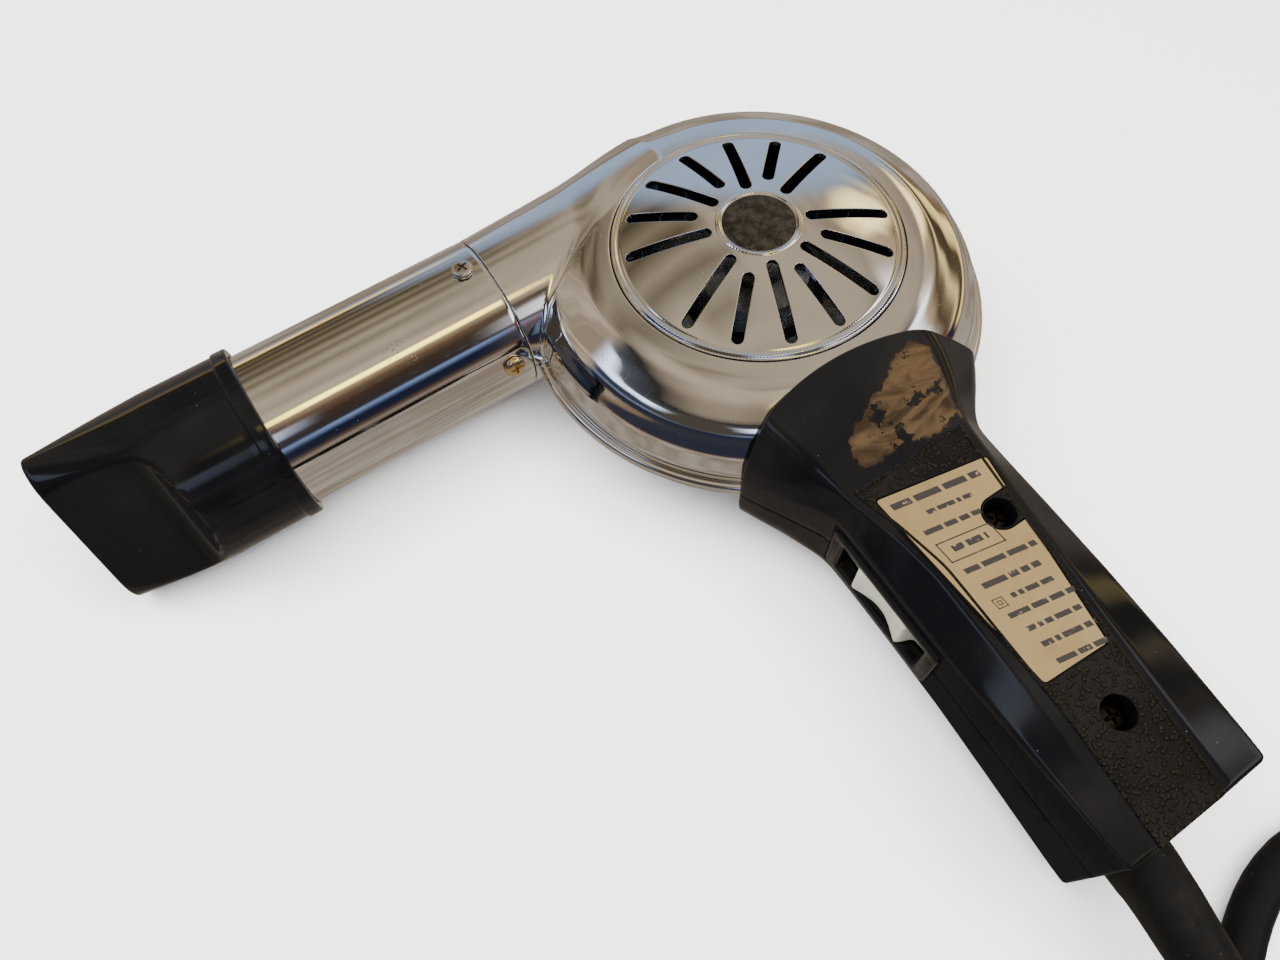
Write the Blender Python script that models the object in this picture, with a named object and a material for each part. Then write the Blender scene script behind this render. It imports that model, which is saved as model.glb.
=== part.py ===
"""Hair dryer with a chromed round fan housing, lying on its back.

Units are metres. The origin is on the fan's axis, in the plane of the rear cover's flat face, on which
the dryer lies. +Z points out of the air inlet, -X along the barrel and -Y down the handle.
"""

import math

import bmesh
import bpy
import numpy as np
from mathutils import Matrix, Vector

# Fits
GAP = 0.0003  # clearance that neighbouring solids keep
SHEET = 0.0008  # thickness of the chromed sheet

# Fan housing: two drawn halves that meet at the seam plane
SEAM_Z = 0.0231
HALF_DEPTH = 0.0204  # from the seam plane to the inlet ring
RING_Z = SEAM_Z + HALF_DEPTH
WALL_R = 0.0563  # side wall at the seam
RIM_R = 0.0585  # rolled rim outside the wall
RIM_HALF = 0.0016  # each half's share of the rim's thickness
HOLE_R = 0.0354  # opening in each half for the grille or the rear cover
HOUSING_SEGMENTS = 36
SEGMENT_START = 0.37  # turns every round solid's corners clear of its neighbours' edges

# Inlet grille and rear cover
RING_R = 0.0350
LEDGE_R = 0.0382  # ledge that sits inside the housing, behind its opening
DOME_RISE = 0.0059
HUB_R = 0.0098
BADGE_R = 0.0088
SLOT_WIDTH = 0.0028
SLOT_OUTER_R = 0.03203  # outer tip of every slot
SLOT_LONG_R = 0.01135  # inner tip of the long slots
SLOT_SHORT_R = 0.01456  # inner tip of the short slots
COVER_FLAT_R = 0.0310

# Barrel: heights along it are measured from the fan's axis towards the mouth
BARREL_Y = 0.03225
BARREL_R = 0.0200
TUBE_WALL = 0.0007
NECK_END = 0.0577
TUBE_START = NECK_END + GAP
TUBE_END = 0.1280
BARREL_SCREW_AT = 0.0630

# Nozzle
NOZZLE_START = 0.1197
NOZZLE_COLLAR_END = 0.1234
NOZZLE_ROUND_END = 0.1420  # where the two flats begin
NOZZLE_MOUTH = 0.1680
NOZZLE_COLLAR_R = 0.0224
NOZZLE_R = 0.0219
MOUTH_HALF_LENGTH = 0.0216
MOUTH_HALF_BULGE = 0.0088
MOUTH_HALF_GAP = 0.0062  # distance of each flat from the axis at the mouth
MOUTH_TURN = math.radians(25.5)  # the mouth's long side, from +Z towards +Y
NOZZLE_WALL = 0.0019

# Motor and fan
SHAFT_R = 0.0020
BORE_R = SHAFT_R + GAP
SHAFT_ENDS = (0.0014, 0.0372)
STACK_ENDS = (0.0062, 0.0178)  # laminated stator stack
BOLT_Y = 0.0242  # the two bolts through brackets and stator, each side of the shaft
ROTOR_R = 0.0112
POLE_BORE_R = 0.0116
STATOR_R = 0.0270
STATOR_INNER_R = 0.0215
FAN_PLATE_ENDS = (0.0248, 0.0257)
FAN_R = 0.0470
FAN_BLADES = 20
FAN_BLADE_TOP = 0.0362

# Handle: width at the seam plane and heights above it, from the housing to the cord
HANDLE_WALL = 0.0023
HANDLE_END_Y = -0.1480
HANDLE_SCREWS = ((-0.0014, -0.0853), (-0.0120, -0.1274))
HANDLE_PANEL_Z = 0.0405
SADDLE_CENTRE = (-0.0082, -0.0957)  # of the arc that ends the handle on the housing
SADDLE_ARC_R = 0.0580

# Switch in the handle's left wall
SWITCH_CENTRE = Vector((-0.0276, -0.0840, SEAM_Z))
WALL_SLANT = math.radians(2.1)  # the wall's lean away from -Y, towards -X
SWITCH_TRAVEL = 0.0040  # each way from the middle position

# Cord
CORD_R = 0.0041
SLEEVE_EXIT = Vector((-0.0205, HANDLE_END_Y, SEAM_Z))
COIL_CENTRE = (-0.0981, -0.2352)
COIL_R = 0.0480  # middle of the turns
COIL_HALF_WIDTH = 0.0123
TIE_SHEET = 0.0009  # thickness of the coil's tie
TIE_HALF_WIDTH = 0.0030
COIL_HEIGHT = 0.0158


def clear_scene():
    for thing in list(bpy.data.objects):
        bpy.data.objects.remove(thing, do_unlink=True)


def material(name, colour, roughness, metallic=0.0):
    made = bpy.data.materials.new(name)
    made.use_nodes = True
    shader = made.node_tree.nodes["Principled BSDF"]
    shader.inputs["Base Color"].default_value = (*colour, 1.0)
    shader.inputs["Roughness"].default_value = roughness
    shader.inputs["Metallic"].default_value = metallic
    return made


# ---------------------------------------------------------------- mesh helpers


def solid(name, vertices, faces, finish=None, place=None):
    """A mesh object with its faces turned outwards and its round stretches shaded smooth."""
    mesh = bpy.data.meshes.new(name)
    mesh.from_pydata([tuple(v) for v in vertices], [], faces)
    if place:
        mesh.transform(place)
    shape = bmesh.new()
    shape.from_mesh(mesh)
    bmesh.ops.recalc_face_normals(shape, faces=shape.faces)
    shape.to_mesh(mesh)
    shape.free()
    mesh.shade_smooth()
    mesh.set_sharp_from_angle(angle=math.radians(35))
    thing = bpy.data.objects.new(name, mesh)
    bpy.context.scene.collection.objects.link(thing)
    if finish:
        mesh.materials.append(finish)
    return thing


def combine(target, tool, operation):
    """Unite, cut or intersect the target with the tool's solid, and remove the tool."""
    modifier = target.modifiers.new("Boolean", "BOOLEAN")
    modifier.operation = operation
    modifier.object = tool
    bpy.context.view_layer.update()
    graph = bpy.context.evaluated_depsgraph_get()
    mesh = bpy.data.meshes.new_from_object(target.evaluated_get(graph))
    target.modifiers.clear()
    target.data = mesh
    mesh.shade_smooth()
    mesh.set_sharp_from_angle(angle=math.radians(35))
    bpy.data.objects.remove(tool, do_unlink=True)
    return target


def turned(name, profile, segments, finish=None, place=None):
    """A solid of revolution about its local Z, from a closed outline of (radius, height) points.

    An outline that starts and ends on the axis stays open there."""
    vertices = []
    rows = []
    for radius, height in profile:
        if radius < 1e-7:
            rows.append([len(vertices)] * segments)
            vertices.append((0.0, 0.0, height))
            continue
        rows.append(list(range(len(vertices), len(vertices) + segments)))
        for k in range(segments):
            turn = 2 * math.pi * (k + SEGMENT_START) / segments
            vertices.append((radius * math.cos(turn), radius * math.sin(turn), height))
    on_axis = profile[0][0] < 1e-7 and profile[-1][0] < 1e-7
    pairs = list(zip(rows, rows[1:], strict=False))
    if not on_axis:
        pairs.append((rows[-1], rows[0]))
    faces = []
    for low, high in pairs:
        for k in range(segments):
            following = (k + 1) % segments
            corners = [low[k], low[following], high[following], high[k]]
            corners = list(dict.fromkeys(corners))
            if len(corners) > 2:
                faces.append(corners)
    return solid(name, vertices, faces, finish, place)


def rod(name, radius, low, high, segments=16, finish=None, place=None):
    profile = [(0.0, low), (radius, low), (radius, high), (0.0, high)]
    return turned(name, profile, segments, finish, place)


def ring(name, inner, outer, low, high, segments=32, finish=None, place=None):
    profile = [(inner, low), (outer, low), (outer, high), (inner, high)]
    return turned(name, profile, segments, finish, place)


def box(name, low, high, finish=None, place=None, bevel=0.0):
    corners = [
        (x, y, z) for z in (low[2], high[2]) for y in (low[1], high[1]) for x in (low[0], high[0])
    ]
    faces = [(0, 2, 3, 1), (4, 5, 7, 6), (0, 1, 5, 4), (2, 6, 7, 3), (0, 4, 6, 2), (1, 3, 7, 5)]
    made = solid(name, corners, faces, finish, place)
    if bevel:
        rounding = made.modifiers.new("Bevel", "BEVEL")
        rounding.width = bevel
        rounding.segments = 2
    return made


def skinned(name, rings, finish=None, place=None, closed=False):
    """A skin over rings of equal point counts: capped at both ends, or closed on itself."""
    count = len(rings[0])
    vertices = [point for one in rings for point in one]
    faces = []
    last = len(rings) if closed else len(rings) - 1
    for row in range(last):
        low = row * count
        high = ((row + 1) % len(rings)) * count
        for k in range(count):
            following = (k + 1) % count
            faces.append((low + k, low + following, high + following, high + k))
    if not closed:
        faces.append(tuple(range(count)))
        faces.append(tuple(range((len(rings) - 1) * count, len(rings) * count)))
    return solid(name, vertices, faces, finish, place)


def smooth_curve(points, per_span, closed=False):
    """Points along a Catmull-Rom curve through the given points."""
    path = [Vector(p) for p in points]
    if closed:
        path = [path[-1], *path, path[0], path[1]]
    else:
        path = [2 * path[0] - path[1], *path, 2 * path[-1] - path[-2]]
    found = []
    for a, b, c, d in zip(path, path[1:], path[2:], path[3:], strict=False):
        for k in range(per_span):
            t = k / per_span
            found.append(
                0.5 * (2 * b + (c - a) * t + (2 * a - 5 * b + 4 * c - d) * t**2
                       + (3 * b - a - 3 * c + d) * t**3)
            )
    if not closed:
        found.append(path[-2])
    return found


def spaced(points, step):
    """The same route with its points an even step apart."""
    line = np.array([tuple(p) for p in points])
    reach = np.concatenate([[0.0], np.cumsum(np.linalg.norm(np.diff(line, axis=0), axis=1))])
    count = max(2, round(reach[-1] / step) + 1)
    wanted = np.linspace(0.0, reach[-1], count)
    return [Vector([float(np.interp(w, reach, line[:, k])) for k in range(3)]) for w in wanted]


def wire(name, points, radius, finish, resolution=1):
    """A round wire or cord along the points, as a curve with filled caps."""
    line = bpy.data.curves.new(name, "CURVE")
    line.dimensions = "3D"
    line.bevel_depth = radius
    line.bevel_resolution = resolution
    line.use_fill_caps = True
    spline = line.splines.new("POLY")
    spline.points.add(len(points) - 1)
    for point, place in zip(spline.points, points, strict=True):
        point.co = (*place, 1.0)
    line.materials.append(finish)
    thing = bpy.data.objects.new(name, line)
    bpy.context.scene.collection.objects.link(thing)
    return thing


def along_barrel():
    """Local Z runs from the fan's axis towards the mouth, local X up."""
    return Matrix.Translation((0, BARREL_Y, SEAM_Z)) @ Matrix.Rotation(-math.pi / 2, 4, "Y")


def pan_head_screw(name, head_r, head_height, shank_r, length, place, finish):
    """A cross-recessed pan head screw: local Z points out of the head, which sits on Z = 0."""
    profile = [
        (0.0, -length),
        (shank_r, -length),
        (shank_r, 0.0),
        (head_r, 0.0),
        (head_r, 0.45 * head_height),
        (0.75 * head_r, 0.88 * head_height),
        (0.0, head_height),
    ]
    screw = turned(name, profile, 12, finish, place)
    arm = 0.55 * head_r
    blade = 0.14 * head_r
    depth = 0.4 * head_height
    for turn in (0.0, math.pi / 2):
        slot = box(
            "slot",
            (-arm, -blade, depth),
            (arm, blade, 2 * head_height),
            place=place @ Matrix.Rotation(turn, 4, "Z"),
        )
        combine(screw, slot, "DIFFERENCE")
    return screw


# ---------------------------------------------------------------- fan housing


def half_outline():
    """(radius, height above the seam) of one half's outer skin, from its opening to the seam."""
    return [
        (HOLE_R, 0.0201),
        (0.0394, 0.0198),
        (0.0423, 0.0190),
        (0.0453, 0.0175),
        (0.0497, 0.0150),
        (0.0513, 0.0136),
        (0.0526, 0.0114),
        (0.0545, 0.0086),
        (0.0559, 0.0042),
        (WALL_R, 0.0),
    ]


def moved_in(outline, distance):
    """The outline moved towards the inside of the housing."""
    line = np.array(outline)
    ahead = np.vstack([line[1:], line[-1:]]) - np.vstack([line[:1], line[:-1]])
    ahead /= np.linalg.norm(ahead, axis=1)[:, None]
    normal = np.stack([-ahead[:, 1], ahead[:, 0]], axis=1)
    moved = line - distance * normal
    moved[-1, 1] = 0.0
    return [tuple(p) for p in moved]


def housing_form(distance, neck_end):
    """The solid inside both halves' skins, moved in by a distance, with the barrel's neck."""
    half = moved_in(half_outline(), distance)
    front = [(r, SEAM_Z + h) for r, h in half]
    rear = [(r, SEAM_Z - h) for r, h in reversed(half[:-1])]
    profile = [(0.0, front[0][1]), *front, *rear, (0.0, rear[-1][1])]
    form = turned("form", profile, HOUSING_SEGMENTS)
    neck = rod("neck", BARREL_R - distance, 0.012, neck_end, 36, place=along_barrel())
    return combine(form, neck, "UNION")


def rim_ring(low, high, outer):
    """The rolled rim's stretch: a ring that stops at both sides of the neck."""
    edge = 0.0005
    profile = [
        (WALL_R - 0.0005, low),
        (outer - edge, low),
        (outer, low + edge),
        (outer, high - edge),
        (outer - edge, high),
        (WALL_R - 0.0005, high),
    ]
    rim = turned("rim", profile, HOUSING_SEGMENTS)
    notch = box("notch", (-0.080, 0.0118, -0.01), (-0.0190, 0.080, 0.06))
    return combine(rim, notch, "DIFFERENCE")


def housing_half(name, side, finish):
    """side is 1 for the front half and -1 for the rear one."""
    shell = housing_form(0.0, NECK_END)
    combine(shell, rim_ring(SEAM_Z - RIM_HALF, SEAM_Z + RIM_HALF, RIM_R), "UNION")
    combine(shell, housing_form(SHEET, NECK_END + 0.01), "DIFFERENCE")
    combine(shell, rod("opening", HOLE_R, -0.01, 0.06, HOUSING_SEGMENTS), "DIFFERENCE")
    leads = box("leads", (-0.0130, -0.070, SEAM_Z - 0.0042), (-0.0040, -0.045, SEAM_Z + 0.0042))
    combine(shell, leads, "DIFFERENCE")
    if side < 0:
        for place in cover_screw_places():
            hole = rod("hole", 0.0013, -0.004, 0.004, 12, place=place)
            combine(shell, hole, "DIFFERENCE")
    combine(shell, half_space(side), "INTERSECT")
    return renamed(shell, name, finish)


def half_space(side):
    """Everything in front of the seam, or behind it."""
    near = SEAM_Z + side * GAP / 2
    far = SEAM_Z + side * 0.06
    return box("half", (-0.2, -0.2, min(near, far)), (0.2, 0.2, max(near, far)))


def renamed(thing, name, finish):
    thing.name = name
    thing.data.materials.clear()
    thing.data.materials.append(finish)
    return thing


def cover_screw_places():
    """Seats of the rear cover's screws on the rear half, local Z pointing away from the housing."""
    seat = SEAM_Z - 0.0202
    flip = Matrix.Rotation(math.pi, 4, "X")
    return [
        Matrix.Rotation(math.radians(turn), 4, "Z") @ Matrix.Translation((0.0373, 0, seat - GAP)) @ flip
        for turn in (85, 205, 325)
    ]


def dome_height(radius):
    """Height of the grille's dome above the inlet ring."""
    ball = (RING_R**2 + DOME_RISE**2) / (2 * DOME_RISE)
    return math.sqrt(ball**2 - radius**2) - (ball - DOME_RISE)


def inlet_grille(finish):
    ledge_top = SEAM_Z + 0.0201 - SHEET - 2 * GAP
    steps = [HUB_R + (RING_R - HUB_R) * k / 4 for k in range(5)]
    outer = [(r, RING_Z + dome_height(r)) for r in steps]
    inner = [(r - 0.0004, RING_Z + dome_height(r) - SHEET) for r in reversed(steps)]
    hub_z = RING_Z + dome_height(HUB_R)
    profile = [
        (0.0, hub_z - SHEET - 0.0006),
        (0.0, hub_z - 0.0006),
        (BADGE_R + GAP, hub_z - 0.0006),
        (BADGE_R + GAP, hub_z + 0.0005),
        (HUB_R, hub_z + 0.0005),
        *outer,
        (RING_R, ledge_top),
        (LEDGE_R, ledge_top),
        (LEDGE_R, ledge_top - SHEET),
        *inner,
        (HUB_R - 0.0004, hub_z - SHEET - 0.0006),
    ]
    profile = profile[1:] + [profile[0]]
    grille = turned("inlet_grille", profile, 36, finish)
    for k in range(1, 16):
        if k == 8:
            continue
        inner_tip = SLOT_LONG_R if k % 2 else SLOT_SHORT_R
        slot = grille_slot(inner_tip, math.radians(22.5 * k))
        combine(grille, slot, "DIFFERENCE")
    return grille


def grille_slot(inner_tip, turn):
    """An upright cutter with round ends, from the inner tip to the common outer tip."""
    radius = SLOT_WIDTH / 2
    outline = []
    for centre, start in ((SLOT_OUTER_R - radius, -90), (inner_tip + radius, 90)):
        for k in range(4):
            angle = math.radians(start + 60 * k)
            outline.append((centre + radius * math.cos(angle), radius * math.sin(angle)))
    low = [(x, y, RING_Z - 0.001) for x, y in outline]
    high = [(x, y, RING_Z + 0.008) for x, y in outline]
    return skinned("slot", [low, high], place=Matrix.Rotation(turn, 4, "Z"))


def grille_badge(finish):
    top = RING_Z + dome_height(HUB_R)
    profile = [
        (0.0, top - 0.0006 + GAP),
        (BADGE_R, top - 0.0006 + GAP),
        (BADGE_R, top + 0.0001),
        (BADGE_R - 0.0003, top + 0.0004),
        (0.0, top + 0.0004),
    ]
    return turned("grille_badge", profile, 32, finish)


def rear_cover(finish):
    ledge = SEAM_Z - 0.0201 + SHEET + 2 * GAP
    profile = [
        (0.0, 0.0),
        (COVER_FLAT_R, 0.0),
        (RING_R - 0.0012, 0.0012),
        (RING_R - 0.0002, 0.0028),
        (RING_R - 0.0002, ledge),
        (LEDGE_R - 0.0006, ledge),
        (LEDGE_R - 0.0006, ledge + SHEET),
        (RING_R - 0.0010, ledge + SHEET),
        (RING_R - 0.0010, 0.0030),
        (RING_R - 0.0018, 0.0019),
        (COVER_FLAT_R - 0.0003, SHEET),
        (0.0, SHEET),
    ]
    cover = turned("rear_cover", profile, 36, finish)
    for k in range(12):
        turn = math.radians(30 * k + 15)
        vent = box("vent", (0.0235, -0.0011, -0.002), (0.0290, 0.0011, 0.003),
                   place=Matrix.Rotation(turn, 4, "Z"))
        combine(cover, vent, "DIFFERENCE")
    return cover


# ---------------------------------------------------------------- barrel and heater


def barrel_screw_places():
    """Seats on the barrel: one on top and one on the handle's side; local Z points outwards."""
    top = Matrix.Translation((-BARREL_SCREW_AT, BARREL_Y, SEAM_Z + BARREL_R))
    side = Matrix.Translation((-BARREL_SCREW_AT, BARREL_Y, SEAM_Z))
    lean = math.radians(78)
    side = side @ Matrix.Rotation(lean, 4, "X") @ Matrix.Translation((0, 0, BARREL_R))
    return [top, side]


def barrel(finish):
    tube = ring("barrel_tube", BARREL_R - TUBE_WALL, BARREL_R, TUBE_START, TUBE_END, 36, finish,
                along_barrel())
    for place in barrel_screw_places():
        combine(tube, rod("hole", 0.0016, -0.003, 0.003, 12, place=place), "DIFFERENCE")
    return tube


def barrel_spigot(finish):
    outer = BARREL_R - TUBE_WALL - GAP
    spigot = ring("barrel_spigot", outer - 0.0009, outer, 0.0480, 0.0700, 36, finish, along_barrel())
    for place in barrel_screw_places():
        combine(spigot, rod("hole", 0.0016, -0.006, 0.001, 12, place=place), "DIFFERENCE")
    return spigot


def barrel_screws(finish):
    for name, place in zip(("top", "side"), barrel_screw_places(), strict=True):
        lifted = place @ Matrix.Translation((0, 0, GAP))
        pan_head_screw(f"barrel_screw_{name}", 0.00265, 0.0017, 0.0013, 0.0026, lifted, finish)


def heater(former_finish, wire_finish, liner_finish, guard_finish):
    place = along_barrel()
    ring("mica_liner", 0.0172, 0.0176, 0.0710, 0.1180, 32, liner_finish, place)
    former = box("heater_former", (-0.0005, -0.0140, 0.0720), (0.0005, 0.0140, 0.1160), former_finish,
                 place)
    across = box("across", (-0.0140, -0.0005, 0.0720), (0.0140, 0.0005, 0.1160), place=place)
    combine(former, across, "UNION")
    turns = 7
    steps = 12
    points = []
    for k in range(turns * steps + 1):
        angle = 2 * math.pi * k / steps
        height = 0.0750 + 0.0380 * k / (turns * steps)
        points.append(place @ Vector((0.0150 * math.cos(angle), 0.0150 * math.sin(angle), height)))
    wire("heater_wire", points, 0.0005, wire_finish, 0)
    guard = ring("outlet_guard", 0.0170, 0.0189, 0.1245, 0.1275, 32, guard_finish, place)
    for offset in (-0.0095, -0.0032, 0.0032, 0.0095):
        reach = math.sqrt(0.0176**2 - offset**2)
        bar = box("bar", (offset - 0.0004, -reach, 0.1255), (offset + 0.0004, reach, 0.1263), place=place)
        combine(guard, bar, "UNION")
        bar = box("bar", (-reach, offset - 0.0004, 0.1256), (reach, offset + 0.0004, 0.1264), place=place)
        combine(guard, bar, "UNION")
    return guard


# ---------------------------------------------------------------- nozzle


def nozzle_ring(height, wall, count=28):
    """One section of the nozzle, moved in by its wall: round, then an oval between two flats."""
    share = (height - NOZZLE_ROUND_END) / (NOZZLE_MOUTH - NOZZLE_ROUND_END)
    share = max(0.0, share)
    length = NOZZLE_R + share * (MOUTH_HALF_LENGTH - NOZZLE_R) - wall
    bulge = NOZZLE_R + share * (MOUTH_HALF_BULGE - NOZZLE_R) - wall
    flat = NOZZLE_R + share * (MOUTH_HALF_GAP - NOZZLE_R) - wall
    points = []
    for k in range(count):
        angle = 2 * math.pi * k / count
        across = max(-flat, min(flat, bulge * math.sin(angle)))
        points.append(Vector((length * math.cos(angle), across, height)))
    return points


def round_ring(height, radius, count=28):
    turns = [2 * math.pi * k / count for k in range(count)]
    return [Vector((radius * math.cos(a), radius * math.sin(a), height)) for a in turns]


def nozzle(finish):
    bore = BARREL_R + GAP
    outside = [
        round_ring(NOZZLE_START, NOZZLE_COLLAR_R - 0.0006),
        round_ring(NOZZLE_START + 0.0006, NOZZLE_COLLAR_R),
        round_ring(NOZZLE_COLLAR_END, NOZZLE_COLLAR_R),
        round_ring(NOZZLE_COLLAR_END + 0.0004, NOZZLE_R),
        *[nozzle_ring(NOZZLE_ROUND_END + 0.0065 * k, 0.0) for k in range(5)],
    ]
    inside = [
        *[nozzle_ring(NOZZLE_MOUTH - 0.0087 * k, NOZZLE_WALL) for k in range(4)],
        round_ring(TUBE_END + GAP + 0.0006, BARREL_R - 0.0008),
        round_ring(TUBE_END + GAP, BARREL_R - 0.0008),
        round_ring(TUBE_END + GAP, bore),
        round_ring(NOZZLE_START, bore),
    ]
    turn = Matrix.Rotation(MOUTH_TURN, 4, "Z")
    return skinned("nozzle", outside + inside, finish, along_barrel() @ turn, closed=True)


# ---------------------------------------------------------------- motor and fan


def motor(finishes):
    low, high = STACK_ENDS
    stator = ring("stator_core", STATOR_INNER_R, STATOR_R, low, high, 40, finishes["lamination"])
    for side in (-1, 1):
        ends = sorted((side * 0.0105, side * 0.0150))
        shoe = box("shoe", (ends[0], -0.0092, low), (ends[1], 0.0092, high))
        ends = sorted((side * 0.0120, side * 0.0230))
        neck = box("pole", (ends[0], -0.0048, low), (ends[1], 0.0048, high))
        combine(stator, combine(shoe, neck, "UNION"), "UNION")
    combine(stator, rod("bore", POLE_BORE_R, low - 0.01, high + 0.01, 32), "DIFFERENCE")
    for side in (-1, 1):
        for edge in (-1, 1):
            ys = sorted((edge * 0.0058, edge * 0.0070))
            xs = sorted((side * 0.0080, side * 0.0135))
            slot = box("slot", (xs[0], ys[0], low - 0.01), (xs[1], ys[1], high + 0.01))
            if edge * side > 0:
                combine(stator, slot, "DIFFERENCE")
            else:
                bpy.data.objects.remove(slot, do_unlink=True)
    for number, side in enumerate((-1, 1), start=1):
        place = Matrix.Translation((0, side * BOLT_Y, 0))
        combine(stator, rod("hole", 0.0018, low - 0.01, high + 0.01, 12, place=place), "DIFFERENCE")
        rod(f"motor_bolt_{number}", 0.0014, 0.0012, 0.0240, 12, finishes["steel"], place)
        ring(f"motor_nut_{number}", 0.0020, 0.0031, 0.0222, 0.0240, 6, finishes["steel"], place)
        xs = sorted((side * 0.0153, side * 0.0189))
        coil = box(f"field_coil_{number}", (xs[0], -0.0090, low - 0.0025), (xs[1], 0.0090, high + 0.0025),
                   finishes["copper"])
        hole = box("hole", (xs[0] - 0.01, -0.0052, low - 0.0004), (xs[1] + 0.01, 0.0052, high + 0.0004))
        combine(coil, hole, "DIFFERENCE")


def rotor(finishes):
    low, high = STACK_ENDS
    profile = [
        (BORE_R, low - 0.0012),
        (0.0098, low - 0.0012),
        (0.0098, low + 0.0003),
        (ROTOR_R, low + 0.0003),
        (ROTOR_R, high - 0.0003),
        (0.0098, high - 0.0003),
        (0.0098, high + 0.0012),
        (BORE_R, high + 0.0012),
    ]
    turned("rotor_core", profile, 32, finishes["lamination"])
    rod("motor_shaft", SHAFT_R, *SHAFT_ENDS, 16, finishes["steel"])


def brackets(finishes):
    """Bearing bridges in front of and behind the stator, with their bushes."""
    for name, low, bush_low, bush_high in (
        ("rear_bracket", 0.0022, 0.0012, 0.0046),
        ("front_bracket", 0.0209, 0.0195, 0.0236),
    ):
        high = low + 0.0010
        bridge = box(name, (-0.0075, -0.0262, low), (0.0075, 0.0262, high), finishes["zinc"])
        combine(bridge, rod("hole", 0.0043, low - 0.01, high + 0.01, 24), "DIFFERENCE")
        for side in (-1, 1):
            place = Matrix.Translation((0, side * BOLT_Y, 0))
            combine(bridge, rod("hole", 0.0017, low - 0.01, high + 0.01, 12, place=place), "DIFFERENCE")
        ring(name.replace("bracket", "bearing"), BORE_R, 0.0040, bush_low, bush_high, 24,
             finishes["bronze"])


def shading_rings(finish):
    """A copper loop round one tip of each pole, which makes the field turn."""
    low, high = STACK_ENDS
    for number, side in enumerate((-1, 1), start=1):
        xs = sorted((side * 0.0121, side * 0.0131))
        ys = sorted((side * 0.0061, side * 0.0103))
        loop = box(f"shading_ring_{number}", (xs[0], ys[0], low - 0.0012), (xs[1], ys[1], high + 0.0012),
                   finish)
        ys = sorted((side * 0.0067, side * 0.0096))
        hole = box("hole", (xs[0] - 0.01, ys[0], low - 0.0004), (xs[1] + 0.01, ys[1], high + 0.0004))
        combine(loop, hole, "DIFFERENCE")


def fan_blade(turn):
    """One upright blade, curved forwards, from inside the plate to above it."""
    thickness = 0.0006
    outline = []
    for side in (-1, 1):
        row = []
        for k in range(3):
            share = k / 2
            radius = 0.0300 + 0.0165 * share
            angle = 0.30 * share**2 + side * thickness / (2 * radius)
            row.append((radius * math.cos(angle), radius * math.sin(angle)))
        outline += row if side < 0 else list(reversed(row))
    low = [(x, y, FAN_PLATE_ENDS[0] + 0.0002) for x, y in outline]
    high = [(x, y, FAN_BLADE_TOP) for x, y in outline]
    return skinned("blade", [low, high], place=Matrix.Rotation(turn, 4, "Z"))


def impeller(finish):
    low, high = FAN_PLATE_ENDS
    profile = [
        (BORE_R, low),
        (FAN_R, low),
        (FAN_R, high),
        (0.0185, high),
        (0.0175, high + 0.0035),
        (0.0140, high + 0.0070),
        (0.0080, high + 0.0090),
        (BORE_R, high + 0.0092),
    ]
    fan = turned("impeller", profile, 40, finish)
    for k in range(FAN_BLADES):
        combine(fan, fan_blade(2 * math.pi * k / FAN_BLADES), "UNION")
    return fan


# ---------------------------------------------------------------- handle

# Columns: y, left wall, its height, panel's left edge, panel's height, panel's right edge,
# right wall's height, right wall, and how far the corners are rounded.
HANDLE_STATIONS = [
    (-0.0340, -0.0400, 0.0080, -0.0290, 0.0216, 0.0150, 0.0090, 0.0350, 0.0060),
    (-0.0420, -0.0385, 0.0080, -0.0280, 0.0211, 0.0145, 0.0090, 0.0330, 0.0060),
    (-0.0480, -0.0360, 0.0082, -0.0270, 0.0204, 0.0135, 0.0095, 0.0295, 0.0055),
    (-0.0560, -0.0320, 0.0090, -0.0257, 0.0190, 0.0110, 0.0100, 0.0230, 0.0040),
    (-0.0630, -0.0285, 0.0101, -0.0252, 0.0179, 0.0083, 0.0105, 0.0155, 0.0016),
    (-0.0660, -0.0270, 0.0104, -0.0250, 0.0174, 0.0078, 0.0106, 0.0133, 0.0012),
    (-0.0750, -0.0273, 0.0105, -0.0225, 0.0174, 0.0063, 0.0108, 0.0128, 0.0012),
    (-0.0880, -0.0277, 0.0107, -0.0206, 0.0174, 0.0042, 0.0110, 0.0123, 0.0012),
    (-0.1060, -0.0284, 0.0110, -0.0215, 0.0174, 0.0013, 0.0115, 0.0112, 0.0012),
    (-0.1240, -0.0291, 0.0130, -0.0223, 0.0174, -0.0016, 0.0130, 0.0090, 0.0012),
    (-0.1440, -0.0298, 0.0158, -0.0245, 0.0174, -0.0049, 0.0155, 0.0055, 0.0008),
    (-0.1466, -0.0298, 0.0158, -0.0246, 0.0172, -0.0052, 0.0153, 0.0050, 0.0008),
    (HANDLE_END_Y, -0.0286, 0.0146, -0.0236, 0.0158, -0.0064, 0.0141, 0.0036, 0.0008),
]


def rounded(points, reach, steps=3):
    """The open outline with each inner corner replaced by a short curve."""
    found = [points[0]]
    for before, corner, after in zip(points, points[1:], points[2:], strict=False):
        start = corner + (before - corner).normalized() * reach
        end = corner + (after - corner).normalized() * reach
        for k in range(steps):
            t = k / (steps - 1)
            found.append(start * (1 - t) ** 2 + corner * 2 * t * (1 - t) + end * t**2)
    found.append(points[-1])
    return found


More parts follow.
